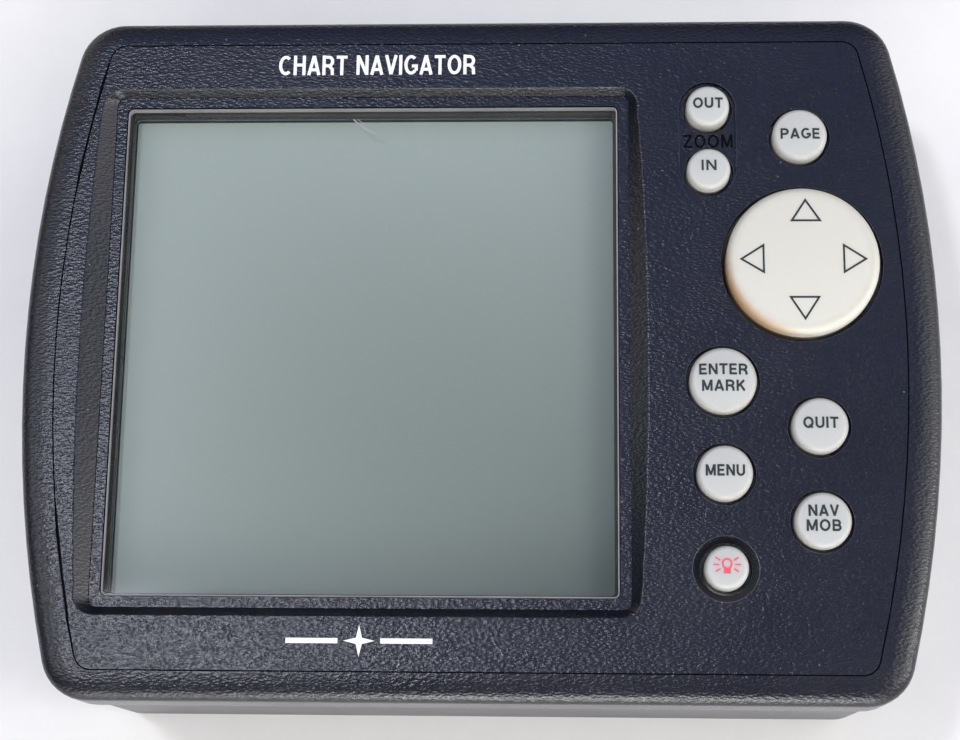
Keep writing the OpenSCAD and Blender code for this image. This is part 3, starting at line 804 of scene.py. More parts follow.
@dataclass
class Piece:
    """A finished visible piece, ready to ride on a CAD body."""

    name: str
    body: str
    slot: str
    materials: Sequence[bpy.types.Material]
    stands_for: Sequence[str] = ()
    weighted: bool = False

    def publish(self, bm: bmesh.types.BMesh) -> bpy.types.Object:
        """Turns the bmesh to an object at the origin that rides on its body.

        Args:
            bm: The finished mesh, in metres. It is freed.

        Returns:
            The new object.
        """
        mesh = bpy.data.meshes.new(self.name)
        bm.to_mesh(mesh)
        bm.free()
        for material in self.materials:
            mesh.materials.append(material)
        obj = bpy.data.objects.new(self.name, mesh)
        bpy.context.scene.collection.objects.link(obj)
        if self.weighted:
            normals = obj.modifiers.new("even_normals", "WEIGHTED_NORMAL")
            normals.keep_sharp = True
            normals.weight = 100
        if self.stands_for:
            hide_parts(*self.stands_for)
        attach(obj, self.body)
        LOG.info("%s: %d faces on %s", self.name, len(mesh.polygons), self.body)
        return obj


def node_copy(node: str) -> bmesh.types.BMesh:
    """A CAD node's mesh with its loose triangles merged and its flat areas joined.

    Args:
        node: The CAD node's name.

    Returns:
        A new bmesh.
    """
    bm = bmesh.new()
    bm.from_mesh(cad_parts[node].data)
    bmesh.ops.remove_doubles(bm, verts=bm.verts, dist=2e-6)
    bmesh.ops.dissolve_limit(
        bm, angle_limit=math.radians(0.6), verts=bm.verts, edges=bm.edges, use_dissolve_boundaries=False
    )
    return bm


# ---------------------------------------------------------------- sub-assemblies


# How far a key's flange reaches past its cap
FLANGE_LIP = 1.3


@dataclass(frozen=True)
class KeySpec:
    """One round key: its place, its size and the legend printed on it."""

    node: str
    x: float
    y: float
    r: float
    lines: tuple[tuple[str, float], ...]
    pitch: float
    rim_z: float
    nudge: float


def key_spec(
    node: str,
    *lines: tuple[str, float],
    pitch: float = 0.0,
    rim_z: float = FACE_Z,
    nudge: float = 0.0,
) -> KeySpec:
    """Reads a key's place and size off its CAD node.

    Args:
        node: The CAD node's name.
        *lines: Each printed word with its width in millimetres.
        pitch: Distance between two lines.
        rim_z: Height of the rim round its hole.
        nudge: How far the print sits above its usual place.

    Returns:
        The key.
    """
    low, high = box_mm(node)
    radius = round((high.x - low.x) / 2 - FLANGE_LIP, 2)
    return KeySpec(node, *middle_of(node), radius, lines, pitch, rim_z, nudge)


ZOOM_RIM_Z = FACE_Z - 0.6
KEYS: tuple[KeySpec, ...] = (
    key_spec("key_zoom_out", ("OUT", 5.4), rim_z=ZOOM_RIM_Z, nudge=0.1),
    key_spec("key_zoom_in", ("IN", 2.8), rim_z=ZOOM_RIM_Z, nudge=0.2),
    key_spec("key_page", ("PAGE", 7.05), nudge=-0.3),
    key_spec("key_enter", ("ENTER", 8.5), ("MARK", 7.6), pitch=2.95),
    key_spec("key_menu", ("MENU", 6.8)),
    key_spec("key_light"),
    key_spec("key_quit", ("QUIT", 6.1)),
    key_spec("key_nav", ("NAV", 5.2), ("MOB", 6.0), pitch=2.6),
)
ROCKER_X, ROCKER_Y = middle_of("rocker_pad")


@dataclass(frozen=True)
class Rim:
    """Outline of an opening in the face: a circle, or one drawn out along y by half each way."""

    x: float
    y: float
    r: float
    z: float = FACE_Z
    half: float = 0.0

    def holds(self, v: bmesh.types.BMVert) -> bool:
        """Tells whether a vertex lies on the outline."""
        along = max(0.0, abs(v.co.y / MM - self.y) - self.half)
        off = math.hypot(v.co.x / MM - self.x, along) - self.r
        return abs(v.co.z / MM - self.z) < 0.02 and abs(off) < 0.03


@dataclass
class Housing:
    """Front and rear mouldings of the case, taken from the frame and given soft edges."""

    rim_worn_highlight_mm: float = 0.22
    window_edge_mm: float = 0.45
    hole_gap_mm: float = 0.5
    lamp_dish_r: float = 5.8
    rocker_hole: Rim = Rim(ROCKER_X, ROCKER_Y, 14.45)
    zoom_recess: Rim = Rim(41.5, 39.1, 5.15, half=5.75)
    window_low: Point = (-73.5, -49.4)
    window_high: Point = (31.5, 49.8)
    groove_floor: float = FACE_Z - 0.35
    groove_depth: float = 0.65

    def darken_grooves(self, bm: bmesh.types.BMesh) -> None:
        """Gives the panel line and the wall of the zoom recess the groove's painted shade."""
        for face in bm.faces:
            heights = [v.co.z / MM for v in face.verts]
            shallow = min(heights) > FACE_Z - self.groove_depth and max(heights) < FACE_Z + 0.01
            wall = abs(face.normal.z) < 0.15
            floor = face.normal.z > 0.99 and all(abs(z - self.groove_floor) < 0.03 for z in heights)
            if shallow and (wall or floor) and face.material_index == 0:
                face.material_index = 2

    def hole_edges(self, bm: bmesh.types.BMesh) -> list[bmesh.types.BMEdge]:
        """Edges round the mouths of the key holes, the rocker's hole, the zoom recess and the lamp dish."""
        rims = [self.rocker_hole, self.zoom_recess]
        for key in KEYS:
            if key.lines:
                rims.append(Rim(key.x, key.y, key.r + self.hole_gap_mm, key.rim_z))
            else:
                rims.append(Rim(key.x, key.y, self.lamp_dish_r))
        return [e for e in bm.edges if any(all(rim.holds(v) for v in e.verts) for rim in rims)]

    def window_edges(self, bm: bmesh.types.BMesh) -> list[bmesh.types.BMEdge]:
        """Edges of the bowed rim where the face turns down to the window."""
        found = []
        for edge in bm.edges:
            mid = (edge.verts[0].co + edge.verts[1].co) / 2 / MM
            if (
                all(abs(v.co.z / MM - FACE_Z) < 0.02 for v in edge.verts)
                and self.window_low[0] < mid.x < self.window_high[0]
                and self.window_low[1] < mid.y < self.window_high[1]
                and len(edge.link_faces) == 2
                and edge.calc_face_angle(0.0) > math.radians(12)
            ):
                found.append(edge)
        return found

    def build_front(self) -> None:
        """The bezel: soft rim round the window, edges round the key holes rubbed smooth and lightened with
        a painted highlight.
        """
        bm = node_copy("front_housing")
        break_edges(bm, self.window_edges(bm), self.window_edge_mm, segments=3)
        # The rounded hole rims get the lighter edge finish, a painted highlight.
        break_edges(bm, self.hole_edges(bm), self.rim_worn_highlight_mm, material=1)
        self.darken_grooves(bm)
        smooth_by_angle(bm, 32)
        looks = [CASE_FRONT.material(), WORN_EDGE_AND_HIGHLIGHT.material(), GROOVE_SHADE.material()]
        bezel = Piece("front_bezel", "case", "case_front", looks, ["front_housing"], weighted=True)
        bezel.publish(bm)

    def build_rear(self) -> None:
        """The rear tub with its connector shelf and bracket bosses."""
        bm = node_copy("rear_housing")
        smooth_by_angle(bm, 28)
        looks = [CASE_REAR.material()]
        Piece("rear_tub", "case", "case_rear", looks, ["rear_housing"], weighted=True).publish(bm)

    def build(self) -> None:
        """Builds both mouldings."""
        self.build_front()
        self.build_rear()

@dataclass
class WindowPlate:
    """Clear plate with frosted edges, seated in the front moulding."""

    corner: float = 1.0
    edge_break: float = 0.3

    def build(self) -> None:
        """Cuts the plate from a block, rounds its corners and breaks its front edge."""
        low, high = (Vector(round(c, 2) for c in corner) for corner in box_mm("display_window"))
        bm = bmesh.new()
        block = Matrix.Translation((low + high) / 2 * MM) @ Matrix.Diagonal((*((high - low) * MM), 1.0))
        bmesh.ops.create_cube(bm, size=1.0, matrix=block)
        upright = [e for e in bm.edges if abs(e.verts[0].co.z - e.verts[1].co.z) > 0.5 * MM]
        break_edges(bm, upright, self.corner, segments=5, clamp=False)
        front = [e for e in bm.edges if all(abs(v.co.z - high.z * MM) < 1e-6 for v in e.verts)]
        break_edges(bm, front, self.edge_break, material=1, clamp=False)
        for face in bm.faces:
            if abs(face.normal.z) < 0.5:
                face.material_index = 1
        smooth_by_angle(bm, 20)
        looks = [ClearPlate().material(), PLATE_EDGE.material()]
        Piece("window_plate", "case", "window", looks, ["display_window"], weighted=True).publish(bm)
        self.build_scuffs(round(high.z, 2))

    def build_scuffs(self, top: float) -> None:
        """A short scratch near the top edge and two faint ones lower down.

        Args:
            top: Height of the plate's front in millimetres.
        """
        pen = Lettering(thickness=0.02, lift=0.012, stagger=0.0)
        bm = bmesh.new()
        for points, width in (
            ([(-23.6, 43.9), (-22.6, 43.0), (-21.2, 41.9), (-19.6, 41.2)], 0.22),
            ([(-22.9, 43.9), (-21.9, 43.2), (-21.0, 42.7)], 0.10),
            ([(-30.4, 16.2), (-29.6, 15.9)], 0.10),
            ([(-17.2, 22.6), (-16.9, 22.0)], 0.10),
        ):
            pen.ribbon(bm, points, width)
        scuffs = Piece("window_scuffs", "case", "window", [PLATE_EDGE.material()])
        pen.print_on(bm, lambda x, y: top, scuffs)


Stroke = list[Point]

def arc(cx: float, cy: float, rx: float, ry: float, start: float, end: float, steps: int = 12) -> Stroke:
    """Points along an ellipse's arc, with both ends.

    Args:
        cx: Centre across.
        cy: Centre up.
        rx: Half width.
        ry: Half height.
        start: First angle in degrees.
        end: Last angle in degrees.
        steps: Segments of the arc.

    Returns:
        The arc's points.
    """
    angles = [math.radians(start + (end - start) * i / steps) for i in range(steps + 1)]
    return [(cx + rx * math.cos(a), cy + ry * math.sin(a)) for a in angles]


# Plain block capitals: width, then the centre lines of the strokes, for a cap height of 1.
STEM: Stroke = [(0.09, 0.0), (0.09, 1.0)]
CAPITALS: dict[str, tuple[float, list[Stroke]]] = {
    "A": (0.74, [[(0.07, 0.0), (0.37, 0.98)], [(0.67, 0.0), (0.37, 0.98)], [(0.17, 0.27), (0.57, 0.27)]]),
    "B": (0.68, [STEM,
                 [(0.09, 0.91), (0.34, 0.91), *arc(0.36, 0.71, 0.19, 0.2, 90, -90), (0.09, 0.51)],
                 [(0.34, 0.51), *arc(0.38, 0.3, 0.21, 0.21, 90, -90), (0.09, 0.09)]]),
    "C": (0.74, [arc(0.4, 0.5, 0.31, 0.42, 48, 312, 20)]),
    "E": (0.60, [STEM, [(0.09, 0.09), (0.59, 0.09)],
                 [(0.09, 0.5), (0.54, 0.5)], [(0.09, 0.91), (0.58, 0.91)]]),
    "G": (0.78, [arc(0.4, 0.5, 0.31, 0.42, 48, 318, 20), [(0.44, 0.44), (0.7, 0.44), (0.7, 0.2)]]),
    "H": (0.70, [STEM, [(0.61, 0.0), (0.61, 1.0)], [(0.09, 0.52), (0.61, 0.52)]]),
    "I": (0.18, [STEM]),
    "K": (0.70, [STEM, [(0.6, 0.97), (0.13, 0.42)], [(0.28, 0.6), (0.63, 0.03)]]),
    "M": (0.82, [STEM, [(0.73, 0.0), (0.73, 1.0)],
                 [(0.12, 0.95), (0.41, 0.08)], [(0.7, 0.95), (0.41, 0.08)]]),
    "N": (0.70, [STEM, [(0.61, 0.0), (0.61, 1.0)], [(0.12, 0.93), (0.58, 0.07)]]),
    "O": (0.80, [arc(0.4, 0.5, 0.31, 0.42, 0, 360, 28)]),
    "P": (0.66, [STEM, [(0.09, 0.91), (0.34, 0.91), *arc(0.35, 0.68, 0.23, 0.23, 90, -90), (0.09, 0.45)]]),
    "Q": (0.80, [arc(0.4, 0.5, 0.31, 0.42, 0, 360, 28), [(0.46, 0.28), (0.72, 0.02)]]),
    "R": (0.70, [STEM, [(0.09, 0.91), (0.36, 0.91), *arc(0.37, 0.69, 0.22, 0.22, 90, -90), (0.09, 0.47)],
                 [(0.38, 0.47), (0.58, 0.3), (0.6, 0.0)]]),
    "T": (0.64, [[(0.0, 0.91), (0.64, 0.91)], [(0.32, 0.9), (0.32, 0.0)]]),
    "U": (0.70, [[(0.09, 1.0), (0.09, 0.36), *arc(0.35, 0.35, 0.26, 0.27, 180, 360), (0.61, 1.0)]]),
    "V": (0.68, [[(0.06, 1.0), (0.34, 0.03)], [(0.62, 1.0), (0.34, 0.03)]]),
    "Z": (0.62, [[(0.03, 0.91), (0.58, 0.91)], [(0.54, 0.88), (0.08, 0.12)], [(0.03, 0.09), (0.6, 0.09)]]),
}
LETTER_GAP = 0.13
WORD_GAP = 0.42


@dataclass
class Lettering:
    """Generic function words and marks, made as thin printed solids."""

    thickness: float = 0.05
    lift: float = 0.035
    stagger: float = 0.003

    def ribbon(self, bm: bmesh.types.BMesh, points: Stroke, width: float) -> None:
        """Lays one flat stroke with mitred corners; equal first and last points close it.

        Args:
            bm: The mesh that receives the stroke, at height 0.
            points: The stroke's centre line in millimetres.
            width: The stroke's width in millimetres.
        """
        closed = math.dist(points[0], points[-1]) < 1e-6
        line = points[:-1] if closed else points
        n = len(line)
        offsets: list[Vector] = []
        for i in range(n):
            before = Vector(line[i]) - Vector(line[i - 1]) if closed or i > 0 else None
            after = Vector(line[(i + 1) % n]) - Vector(line[i]) if closed or i < n - 1 else None
            a = (before or after).normalized()
            b = (after or before).normalized()
            mid = (a + b).normalized()
            reach = width / 2 / max(0.35, mid.dot(b))
            offsets.append(Vector((-mid.y, mid.x)) * reach)
        step = -self.stagger * (len(bm.faces) % 7)
        left = [bm.verts.new(((p[0] + o.x) * MM, (p[1] + o.y) * MM, step)) for p, o in zip(line, offsets)]
        pairs = list(zip(left, left[1:])) + ([(left[-1], left[0])] if closed else [])
        edges = [bm.edges.new(pair) for pair in pairs]
        shift = {tuple(round(c, 8) for c in v.co): o for v, o in zip(left, offsets)}
        made = bmesh.ops.extrude_edge_only(bm, edges=edges)
        for v in (g for g in made["geom"] if isinstance(g, bmesh.types.BMVert)):
            o = shift[tuple(round(c, 8) for c in v.co)]
            v.co = v.co - Vector((o.x, o.y, 0)) * 2 * MM

    def thicken(self, bm: bmesh.types.BMesh) -> None:
        """Turns flat strokes at height 0 to solids that reach height 1."""
        solid = bmesh.ops.extrude_face_region(bm, geom=bm.faces[:])
        for v in (g for g in solid["geom"] if isinstance(g, bmesh.types.BMVert)):
            v.co.z += 1.0
        bmesh.ops.recalc_face_normals(bm, faces=bm.faces)

    def write(
        self,
        bm: bmesh.types.BMesh,
        text: str,
        width: float,
        height: float,
        centre: Point,
        bold: float = 0.195,
    ) -> None:
        """Writes one line of block capitals fitted to a width and cap height.

        Args:
            bm: The mesh that receives the strokes, at height 0.
            text: The words.
            width: Overall width in millimetres.
            height: Cap height in millimetres.
            centre: Centre of the line in millimetres.
            bold: Stroke width as a share of the cap height.
        """
        gaps = [WORD_GAP if c == " " else CAPITALS[c][0] + LETTER_GAP for c in text]
        natural = sum(gaps) - LETTER_GAP
        sx = width / natural
        x = centre[0] - width / 2
        y = centre[1] - height / 2
        for letter, step in zip(text, gaps):
            for stroke in CAPITALS[letter][1] if letter != " " else []:
                self.ribbon(bm, [(x + px * sx, y + py * height) for px, py in stroke], bold * height)
            x += step * sx

    def settle(self, bm: bmesh.types.BMesh, height_at: Callable[[float, float], float]) -> None:
        """Lays a mark onto a surface.

        Args:
            bm: A mark whose vertices stand at height 0 or 1.
            height_at: Surface height in millimetres at a place in millimetres.
        """
        for v in bm.verts:
            base = height_at(v.co.x / MM, v.co.y / MM) + self.lift
            v.co.z = (base + v.co.z - 1.0 if v.co.z > 0.5 else base - self.thickness * 2) * MM

    def print_on(
        self, bm: bmesh.types.BMesh, height_at: Callable[[float, float], float], piece: Piece
    ) -> None:
        """Turns flat strokes to a printed solid on a surface.

        Args:
            bm: The strokes.
            height_at: Surface height in millimetres at a place in millimetres.
            piece: The piece they become.
        """
        self.thicken(bm)
        self.settle(bm, height_at)
        piece.publish(bm)


@dataclass
class RoundKeys:
    """Eight silicone keys, each with its own body, and the legends printed on them."""

    proud: float = 2.2
    dome_r: float = 32.0
    shoulder: float = 0.9
    # The second colour is the painted shade round each key's shoulder.
    colours: tuple[str, str] = ("#bcbcb6", "#aeaca4")
    trim: float = 0.2
    flange_top: float = 50.7
    flange_t: float = 1.2
    plunger_z: float = 46.2
    plunger_share: float = 0.6
    letter_h: float = 2.0
    letter_rise: float = 0.35
    letters: Lettering = field(default_factory=Lettering)

    def top_at(self, key: KeySpec, x: float, y: float) -> float:
        """Height of a key's domed top at a place, in millimetres."""
        d2 = (x - key.x) ** 2 + (y - key.y) ** 2
        return FACE_Z + self.proud - (self.dome_r - math.sqrt(self.dome_r**2 - d2))

    def cap_outline(self, key: KeySpec) -> list[Point]:
        """Half section of a key from the crown of its cap to the foot of its plunger."""
        outer = key.r - self.trim
        cap = domed_outline(
            outer, self.shoulder, lambda d: self.top_at(key, key.x + d, key.y), 6, range(12, 91, 13)
        )
        flange = key.r + FLANGE_LIP
        foot = key.r * self.plunger_share
        return cap + [
            (outer, self.flange_top + 0.15),
            (outer + 0.15, self.flange_top),
            (flange - 0.1, self.flange_top),
            (flange, self.flange_top - 0.1),
            (flange, self.flange_top - self.flange_t),
            (foot, self.flange_top - self.flange_t),
            (foot, self.plunger_z),
            (0.0, self.plunger_z),
        ]

    def build_cap(self, key: KeySpec) -> None:
        """Spins one key."""
        bm = bmesh.new()
        revolve(bm, self.cap_outline(key), (key.x, key.y))
        smooth_by_angle(bm, 35)
        name = "moulded_silicone_" + key.node.removeprefix("key_")
        rubber = SiliconeKey(name, *self.colours, (key.x, key.y), key.r)
        Piece(key.node + "_cap", key.node, "key_white", [rubber.material()], [key.node]).publish(bm)

    def build_legend(self, key: KeySpec) -> None:
        """Prints a key's words, one or two lines."""
        bm = bmesh.new()
        top = key.pitch / 2 if len(key.lines) > 1 else 0.0
        for i, (word, width) in enumerate(key.lines):
            line_y = key.y + self.letter_rise + key.nudge + top - i * key.pitch
            self.letters.write(bm, word, width, self.letter_h, (key.x, line_y))
        legend = Piece(key.node + "_legend", key.node, "key_white", [GREY_INK.material()])
        self.letters.print_on(bm, lambda x, y: self.top_at(key, x, y), legend)

    def build_lamp_mark(self, key: KeySpec) -> None:
        """Prints the small red lamp with three rays on each side."""
        bm = bmesh.new()
        x, y = key.x, key.y + self.letter_rise
        self.letters.ribbon(bm, arc(x, y + 0.25, 0.78, 0.82, 0, 360, 24), 0.3)
        self.letters.ribbon(bm, [(x, y - 1.45), (x, y - 0.45)], 1.2)
        for side in (-1, 1):
            for lean in (-32, 0, 32):
                a = math.radians(lean)
                ray = [
                    (x + side * r * math.cos(a), y + 0.1 + r * math.sin(a)) for r in (1.35, 2.35)
                ]
                self.letters.ribbon(bm, ray, 0.26)
        mark = Piece("key_light_lamp_mark", key.node, "key_white", [RED_INK.material()])
        self.letters.print_on(bm, lambda x, y: self.top_at(key, x, y), mark)

    def build(self) -> None:
        """Builds every key with its print."""
        for key in KEYS:
            self.build_cap(key)
            if key.lines:
                self.build_legend(key)
            else:
                self.build_lamp_mark(key)


@dataclass
class RockerPad:
    """Four-way pad on its gimbal, with an outlined triangle at each compass point."""

    x: float = ROCKER_X
    y: float = ROCKER_Y
    r: float = 13.6
    crown: float = round(box_mm("rocker_pad")[1].z, 1)
    dome_r: float = 150.0
    shoulder: float = 1.4
    flange_r: float = 15.6
    flange_z: float = 48.2
    cavity_r: float = 8.0
    cavity_top: float = 52.2
    foot_ring_r: float = 11.4
    foot_r: float = 1.8
    foot_h: float = 1.8
    pivot_z: float = 49.2
    pivot_out: float = 6.85
    pivot_r: float = 0.7
    pivot_length: float = 3.1
    apex_r: float = 11.0
    base_r: float = 7.1
    base_w: float = 5.0
    stroke: float = 0.34
    up_shift: float = 0.55

    def top_at(self, x: float, y: float) -> float:
        """Height of the pad's top at a place, in millimetres."""
        d2 = (x - self.x) ** 2 + (y - self.y) ** 2
        return self.crown - (self.dome_r - math.sqrt(self.dome_r**2 - d2))

    def build_pad(self) -> None:
        """Spins the pad, then adds its two pivot pins and four feet."""
        outline = domed_outline(
            self.r, self.shoulder, lambda d: self.top_at(self.x + d, self.y), 8, range(10, 91, 10)
        )
        outline += [
            (self.r, self.flange_z + 1.15),
            (self.r + 0.15, self.flange_z + 1.0),
            (self.flange_r, self.flange_z + 1.0),
            (self.flange_r, self.flange_z),
            (self.cavity_r, self.flange_z),
            (self.cavity_r, self.cavity_top),
            (0.0, self.cavity_top),
        ]
        bm = bmesh.new()
        revolve(bm, outline, (self.x, self.y), steps=144)
        for k in range(4):
            a = math.radians(90 * k)
            foot_x = self.x + self.foot_ring_r * math.cos(a)
            foot_y = self.y + self.foot_ring_r * math.sin(a)
            add_peg(bm, (foot_x, foot_y, self.flange_z - self.foot_h / 2), self.foot_r, self.foot_h)
        lie_down = Matrix.Rotation(math.radians(90), 4, "X")
        for side in (-1, 1):
            place = (self.x, self.y + side * self.pivot_out, self.pivot_z)
            add_peg(bm, place, self.pivot_r, self.pivot_length, lie_down)
        smooth_by_angle(bm, 35)
        centre = (self.x, self.y)
        # The second colour is the painted shade round the pad's shoulder.
        rubber = SiliconeKey(
            "aged_silicone_rocker", "#d0cdc0", "#c9c6b8", centre, self.r, stain_amount=0.75
        )
        Piece("rocker_cap", "rocker_pad", "rocker_cream", [rubber.material()], ["rocker_pad"]).publish(bm)

    def build_arrows(self) -> None:
        """Prints the four outlined triangles."""
        bm = bmesh.new()
        pen = Lettering(lift=0.06)
        half = self.base_w / 2
        for k in range(4):
            a = math.radians(90 * k)
            shift = self.up_shift if k == 0 else 0.0
            turned = [
                (
                    self.x + px * math.cos(a) - py * math.sin(a) + shift,
                    self.y + px * math.sin(a) + py * math.cos(a),
                )
                for px, py in ((0.0, self.apex_r), (-half, self.base_r), (half, self.base_r))
            ]
            pen.ribbon(bm, turned + turned[:1], self.stroke)
        arrows = Piece("rocker_arrows", "rocker_pad", "rocker_cream", [GREY_INK.material()])
        pen.print_on(bm, self.top_at, arrows)

    def build(self) -> None:
        """Builds the pad and its print."""
        self.build_pad()
        self.build_arrows()


@dataclass
class FacePrint:
    """Words and marks on the face: a plain title, a plain compass star and the zoom legend."""

    star_place: Point = (-19.8, -52.6)
    star_long: float = 2.75
    star_short: float = 0.75
    letters: Lettering = field(default_factory=Lettering)

    def publish(self, bm: bmesh.types.BMesh, name: str, ink: Finish, height: float = FACE_Z) -> None:
        """Lays a mark on the case.

        Args:
            bm: The mark's strokes.
            name: Its piece's name.
            ink: What it is printed with.
            height: Height of the surface under it.
        """
        mark = Piece(name, "case", "case_front", [ink.material()])
        self.letters.print_on(bm, lambda x, y: height, mark)

    def build_title(self) -> None:
        """A plain descriptive title above the window."""
        bm = bmesh.new()
        self.letters.write(bm, "CHART NAVIGATOR", 36.5, 3.9, (-19.3, 53.8), 0.15)
        self.publish(bm, "face_title", WHITE_INK)

    def build_star(self) -> None:
        """A four-point compass star between two bars, below the window."""
        bm = bmesh.new()
        x, y = self.star_place
        star = bmesh.ops.create_circle(bm, segments=8, radius=1.0, cap_ends=True)
        for v in star["verts"]:
            angle = math.atan2(v.co.y, v.co.x)
            reach = self.star_long if round(math.degrees(angle)) % 90 == 0 else self.star_short
            v.co = Vector((x + math.cos(angle) * reach, y + math.sin(angle) * reach, 0)) * MM
        for side in (-1, 1):
            self.letters.ribbon(bm, [(x + side * 3.7, y), (x + side * 12.7, y)], 0.9)
        self.publish(bm, "face_compass_star", WHITE_INK)

    def build_zoom(self) -> None:
        """The thin word between the zoom keys, at the bottom of their shallow recess."""
        bm = bmesh.new()
        self.letters.write(bm, "ZOOM", 9.0, 2.6, (41.6, 38.75), 0.14)
        self.publish(bm, "face_zoom_word", BLACK_INK, ZOOM_RIM_Z)

    def build(self) -> None:
        """Builds the three marks."""
        self.build_title()
        self.build_star()
        self.build_zoom()


@dataclass
class BackFittings:
    """Sockets, screws, inserts, label and card door, softened for a close look."""

    parts: tuple[tuple[str, str, str, Finish, float], ...] = (
        ("housing_screws", "case", "steel", ZINC_STEEL, 0.12),
        ("power_socket", "case", "black_nylon", NYLON_BLACK, 0.2),
        ("antenna_socket", "case", "nickel", NICKEL, 0.15),
        ("bracket_inserts", "case", "brass", BRASS, 0.15),
        ("blank_label", "case", "label_silver", FOIL, 0.05),
    )

    def build(self) -> None:
        """Copies each fitting, breaks its sharp edges and dresses it."""
        for node, body, slot, finish, edge in self.parts:
            self.soften(node, body, slot, finish.material(), edge)
        self.soften("card_door", "card_door", "case_rear", CASE_REAR.material(), 0.2)

    def soften(self, node: str, body: str, slot: str, material: bpy.types.Material, edge: float) -> None:
        """Breaks the sharp edges of a copy of one CAD node.

        Args:
            node: The CAD node that the piece stands for.
            body: The body it rides on.
            slot: The record's material slot.
            material: Its finish.
            edge: Width of the edge break in millimetres.
        """
        bm = node_copy(node)
        sharp = [
            e
            for e in bm.edges
            if len(e.link_faces) == 2 and e.calc_face_angle(0.0) > math.radians(50) and e.is_convex
        ]
        break_edges(bm, sharp, edge)
        smooth_by_angle(bm, 32)
        Piece(node + "_finished", body, slot, [material], [node], weighted=True).publish(bm)


@dataclass
class InnerParts:
    """Everything shown as packed: each CAD node gets the finish of its real material."""

    finishes: dict[str, Finish] = field(default_factory=lambda: dict(NODE_FINISHES))

    def build(self) -> None:
        """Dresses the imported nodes."""
        for node, finish in self.finishes.items():
            self.dress(node, finish.material())
        self.dress("front_polariser", DisplayFilm().material())

    def dress(self, node: str, material: bpy.types.Material) -> None:
        """Replaces a node's material slots with one finish."""
        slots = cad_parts[node].data.materials
        slots.clear()
        slots.append(material)
        LOG.info("%s dressed in %s", node, material.name)


@dataclass(frozen=True)
class Glow:
    """A soft bright or dim patch of the surroundings."""

    towards: tuple[float, float, float]
    inner: float
    outer: float
    colour: tuple[float, float, float, float]


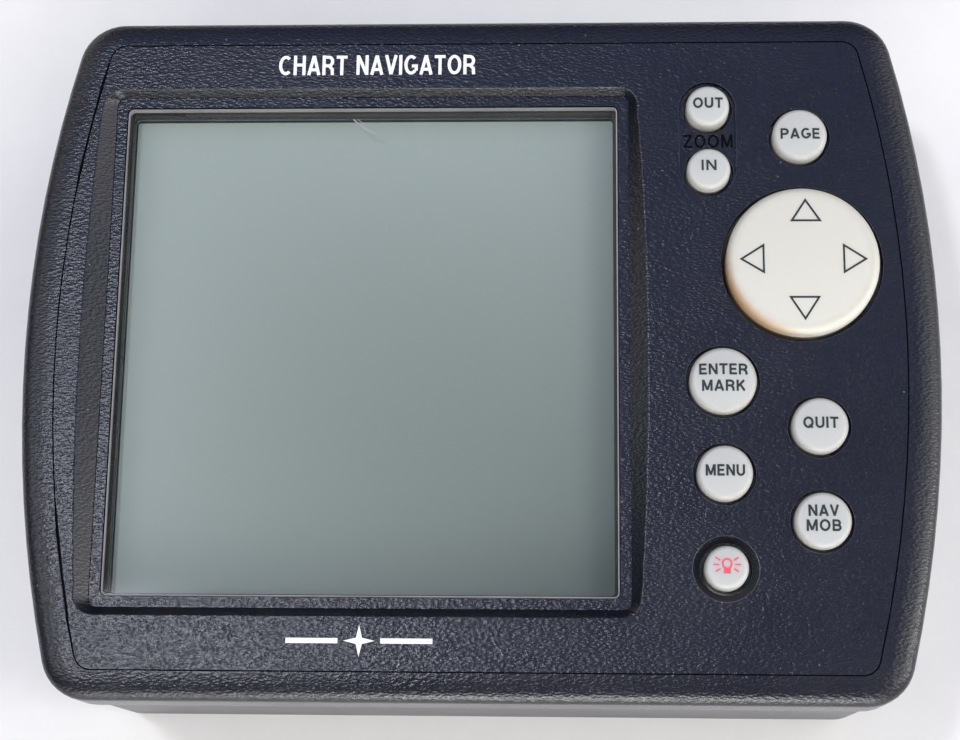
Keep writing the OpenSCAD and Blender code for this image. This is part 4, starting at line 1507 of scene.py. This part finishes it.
@dataclass
class Studio:
    """Pale table, soft light and the camera."""

    camera_mm: tuple[float, float, float] = (16.07, -89.47, 390.5)
    right: tuple[float, float, float] = (0.998995, 0.012019, -0.043177)
    up: tuple[float, float, float] = (-0.001082, 0.969555, 0.244871)
    back: tuple[float, float, float] = (0.044806, -0.244578, 0.968594)
    lens_mm: float = 73.33
    table: str = "#e6e4de"
    lowest: tuple[float, float, float, float] = (0.17, 0.17, 0.23, 1.0)
    glows: tuple[Glow, ...] = (
        # The lit side of the room, low beyond the near edge of the table
        Glow((0.0, -1.0, 0.15), 12.0, 50.0, (3.4, 3.4, 3.45, 1.0)),
        # A bright wall to the right
        Glow((0.8, 0.1, 0.6), 12.0, 42.0, (1.9, 1.9, 1.95, 1.0)),
        # A window high on the left
        Glow((-0.62, 0.05, 0.8), 6.0, 22.0, (2.0, 2.0, 2.1, 1.0)),
        # Cool ceiling overhead, a little brighter towards the far edge of the table
        Glow((0.0, 0.42, 0.9), 6.0, 34.0, (0.36, 0.48, 0.92, 1.0)),
        Glow((0.12, 0.08, 1.0), 4.0, 20.0, (0.11, 0.12, 0.42, 1.0)),
    )

    def build_table(self) -> None:
        """A wide pale sheet under the unit."""
        bm = bmesh.new()
        bmesh.ops.create_grid(bm, x_segments=2, y_segments=2, size=2.5)
        mesh = bpy.data.meshes.new("table_top")
        bm.to_mesh(mesh)
        bm.free()
        obj = bpy.data.objects.new("table_top", mesh)
        obj.location = (0, 0, -0.0002)
        bpy.context.scene.collection.objects.link(obj)
        finish = Finish(
            "matt_painted_board", self.table, "#eae8e2", Pattern.MOULDED, 2.0, 0.01, roughness=0.6
        )
        mesh.materials.append(finish.material())

    def add_light(
        self, name: str, place: tuple[float, float, float], size: float, power: float, tint: str
    ) -> None:
        """Hangs a square soft light that faces the unit.

        Args:
            name: The light's name.
            place: Its place in metres.
            size: Its side in metres.
            power: Its power in watts.
            tint: Its colour.
        """
        data = bpy.data.lights.new(name, "AREA")
        data.shape = "SQUARE"
        data.size = size
        data.energy = power
        data.color = linear_rgba(tint)[:3]
        obj = bpy.data.objects.new(name, data)
        obj.location = place
        obj.rotation_euler = (-Vector(place)).to_track_quat("-Z", "Y").to_euler()
        bpy.context.scene.collection.objects.link(obj)

    def build_light(self) -> None:
        """Bright low surroundings, a dim ceiling right above, and soft panels."""
        world = bpy.data.worlds.new("surround")
        bpy.context.scene.world = world
        world.use_nodes = True
        bench = NodeBench(world.node_tree)
        way = bench.add("ShaderNodeTexCoord").outputs["Generated"]
        total: object = self.lowest
        for glow in self.glows:
            near = bench.add(
                "ShaderNodeVectorMath",
                {1: tuple(Vector(glow.towards).normalized())},
                {0: way},
                operation="DOT_PRODUCT",
            ).outputs["Value"]
            share = bench.add(
                "ShaderNodeMapRange",
                {
                    "From Min": math.cos(math.radians(glow.outer)),
                    "From Max": math.cos(math.radians(glow.inner)),
                },
                {"Value": near},
                interpolation_type="SMOOTHSTEP",
            ).outputs["Result"]
            total = bench.blend(share, total, glow.colour)
        back = bench.add("ShaderNodeBackground", {"Strength": 1.0}, {"Color": total})
        out = bench.add("ShaderNodeOutputWorld")
        bench.tree.links.new(back.outputs["Background"], out.inputs["Surface"])
        self.add_light("panel_over_left", (-0.324, 0.066, 1.25), 0.08, 4.2, "#f4f7ff")
        self.add_light("panel_right", (0.95, -0.3, 0.95), 0.40, 2.2, "#fffdf8")
        self.add_light("strip_right", (1.05, -0.2, 0.38), 0.25, 2.5, "#ffffff")
        self.add_light("strip_low", (0.05, -1.0, 0.45), 0.22, 3.2, "#fdfcff")
        self.add_light("far_side", (-0.9, 0.95, 0.45), 0.60, 1.6, "#fff6ea")

    def build_camera(self) -> None:
        """A long lens a little to the lower side of straight above."""
        data = bpy.data.cameras.new("camera")
        data.lens = self.lens_mm
        data.sensor_width = 36.0
        data.clip_start = 0.01
        data.clip_end = 20.0
        obj = bpy.data.objects.new("camera", data)
        turn = Matrix((self.right, self.up, self.back)).transposed().to_4x4()
        obj.matrix_world = Matrix.Translation(Vector(self.camera_mm) * MM) @ turn
        bpy.context.scene.collection.objects.link(obj)
        bpy.context.scene.camera = obj

    def build(self) -> None:
        """Sets the whole stage."""
        bpy.context.scene.view_settings.view_transform = "Standard"
        self.build_table()
        self.build_light()
        self.build_camera()


def main() -> None:
    """Builds every sub-assembly in order."""
    assemblies: Iterable[object] = (
        Studio(),
        InnerParts(),
        Housing(),
        WindowPlate(),
        RoundKeys(),
        RockerPad(),
        FacePrint(),
        BackFittings(),
    )
    for assembly in assemblies:
        LOG.info("building %s", type(assembly).__name__)
        assembly.build()


if __name__ == "__main__":
    main()
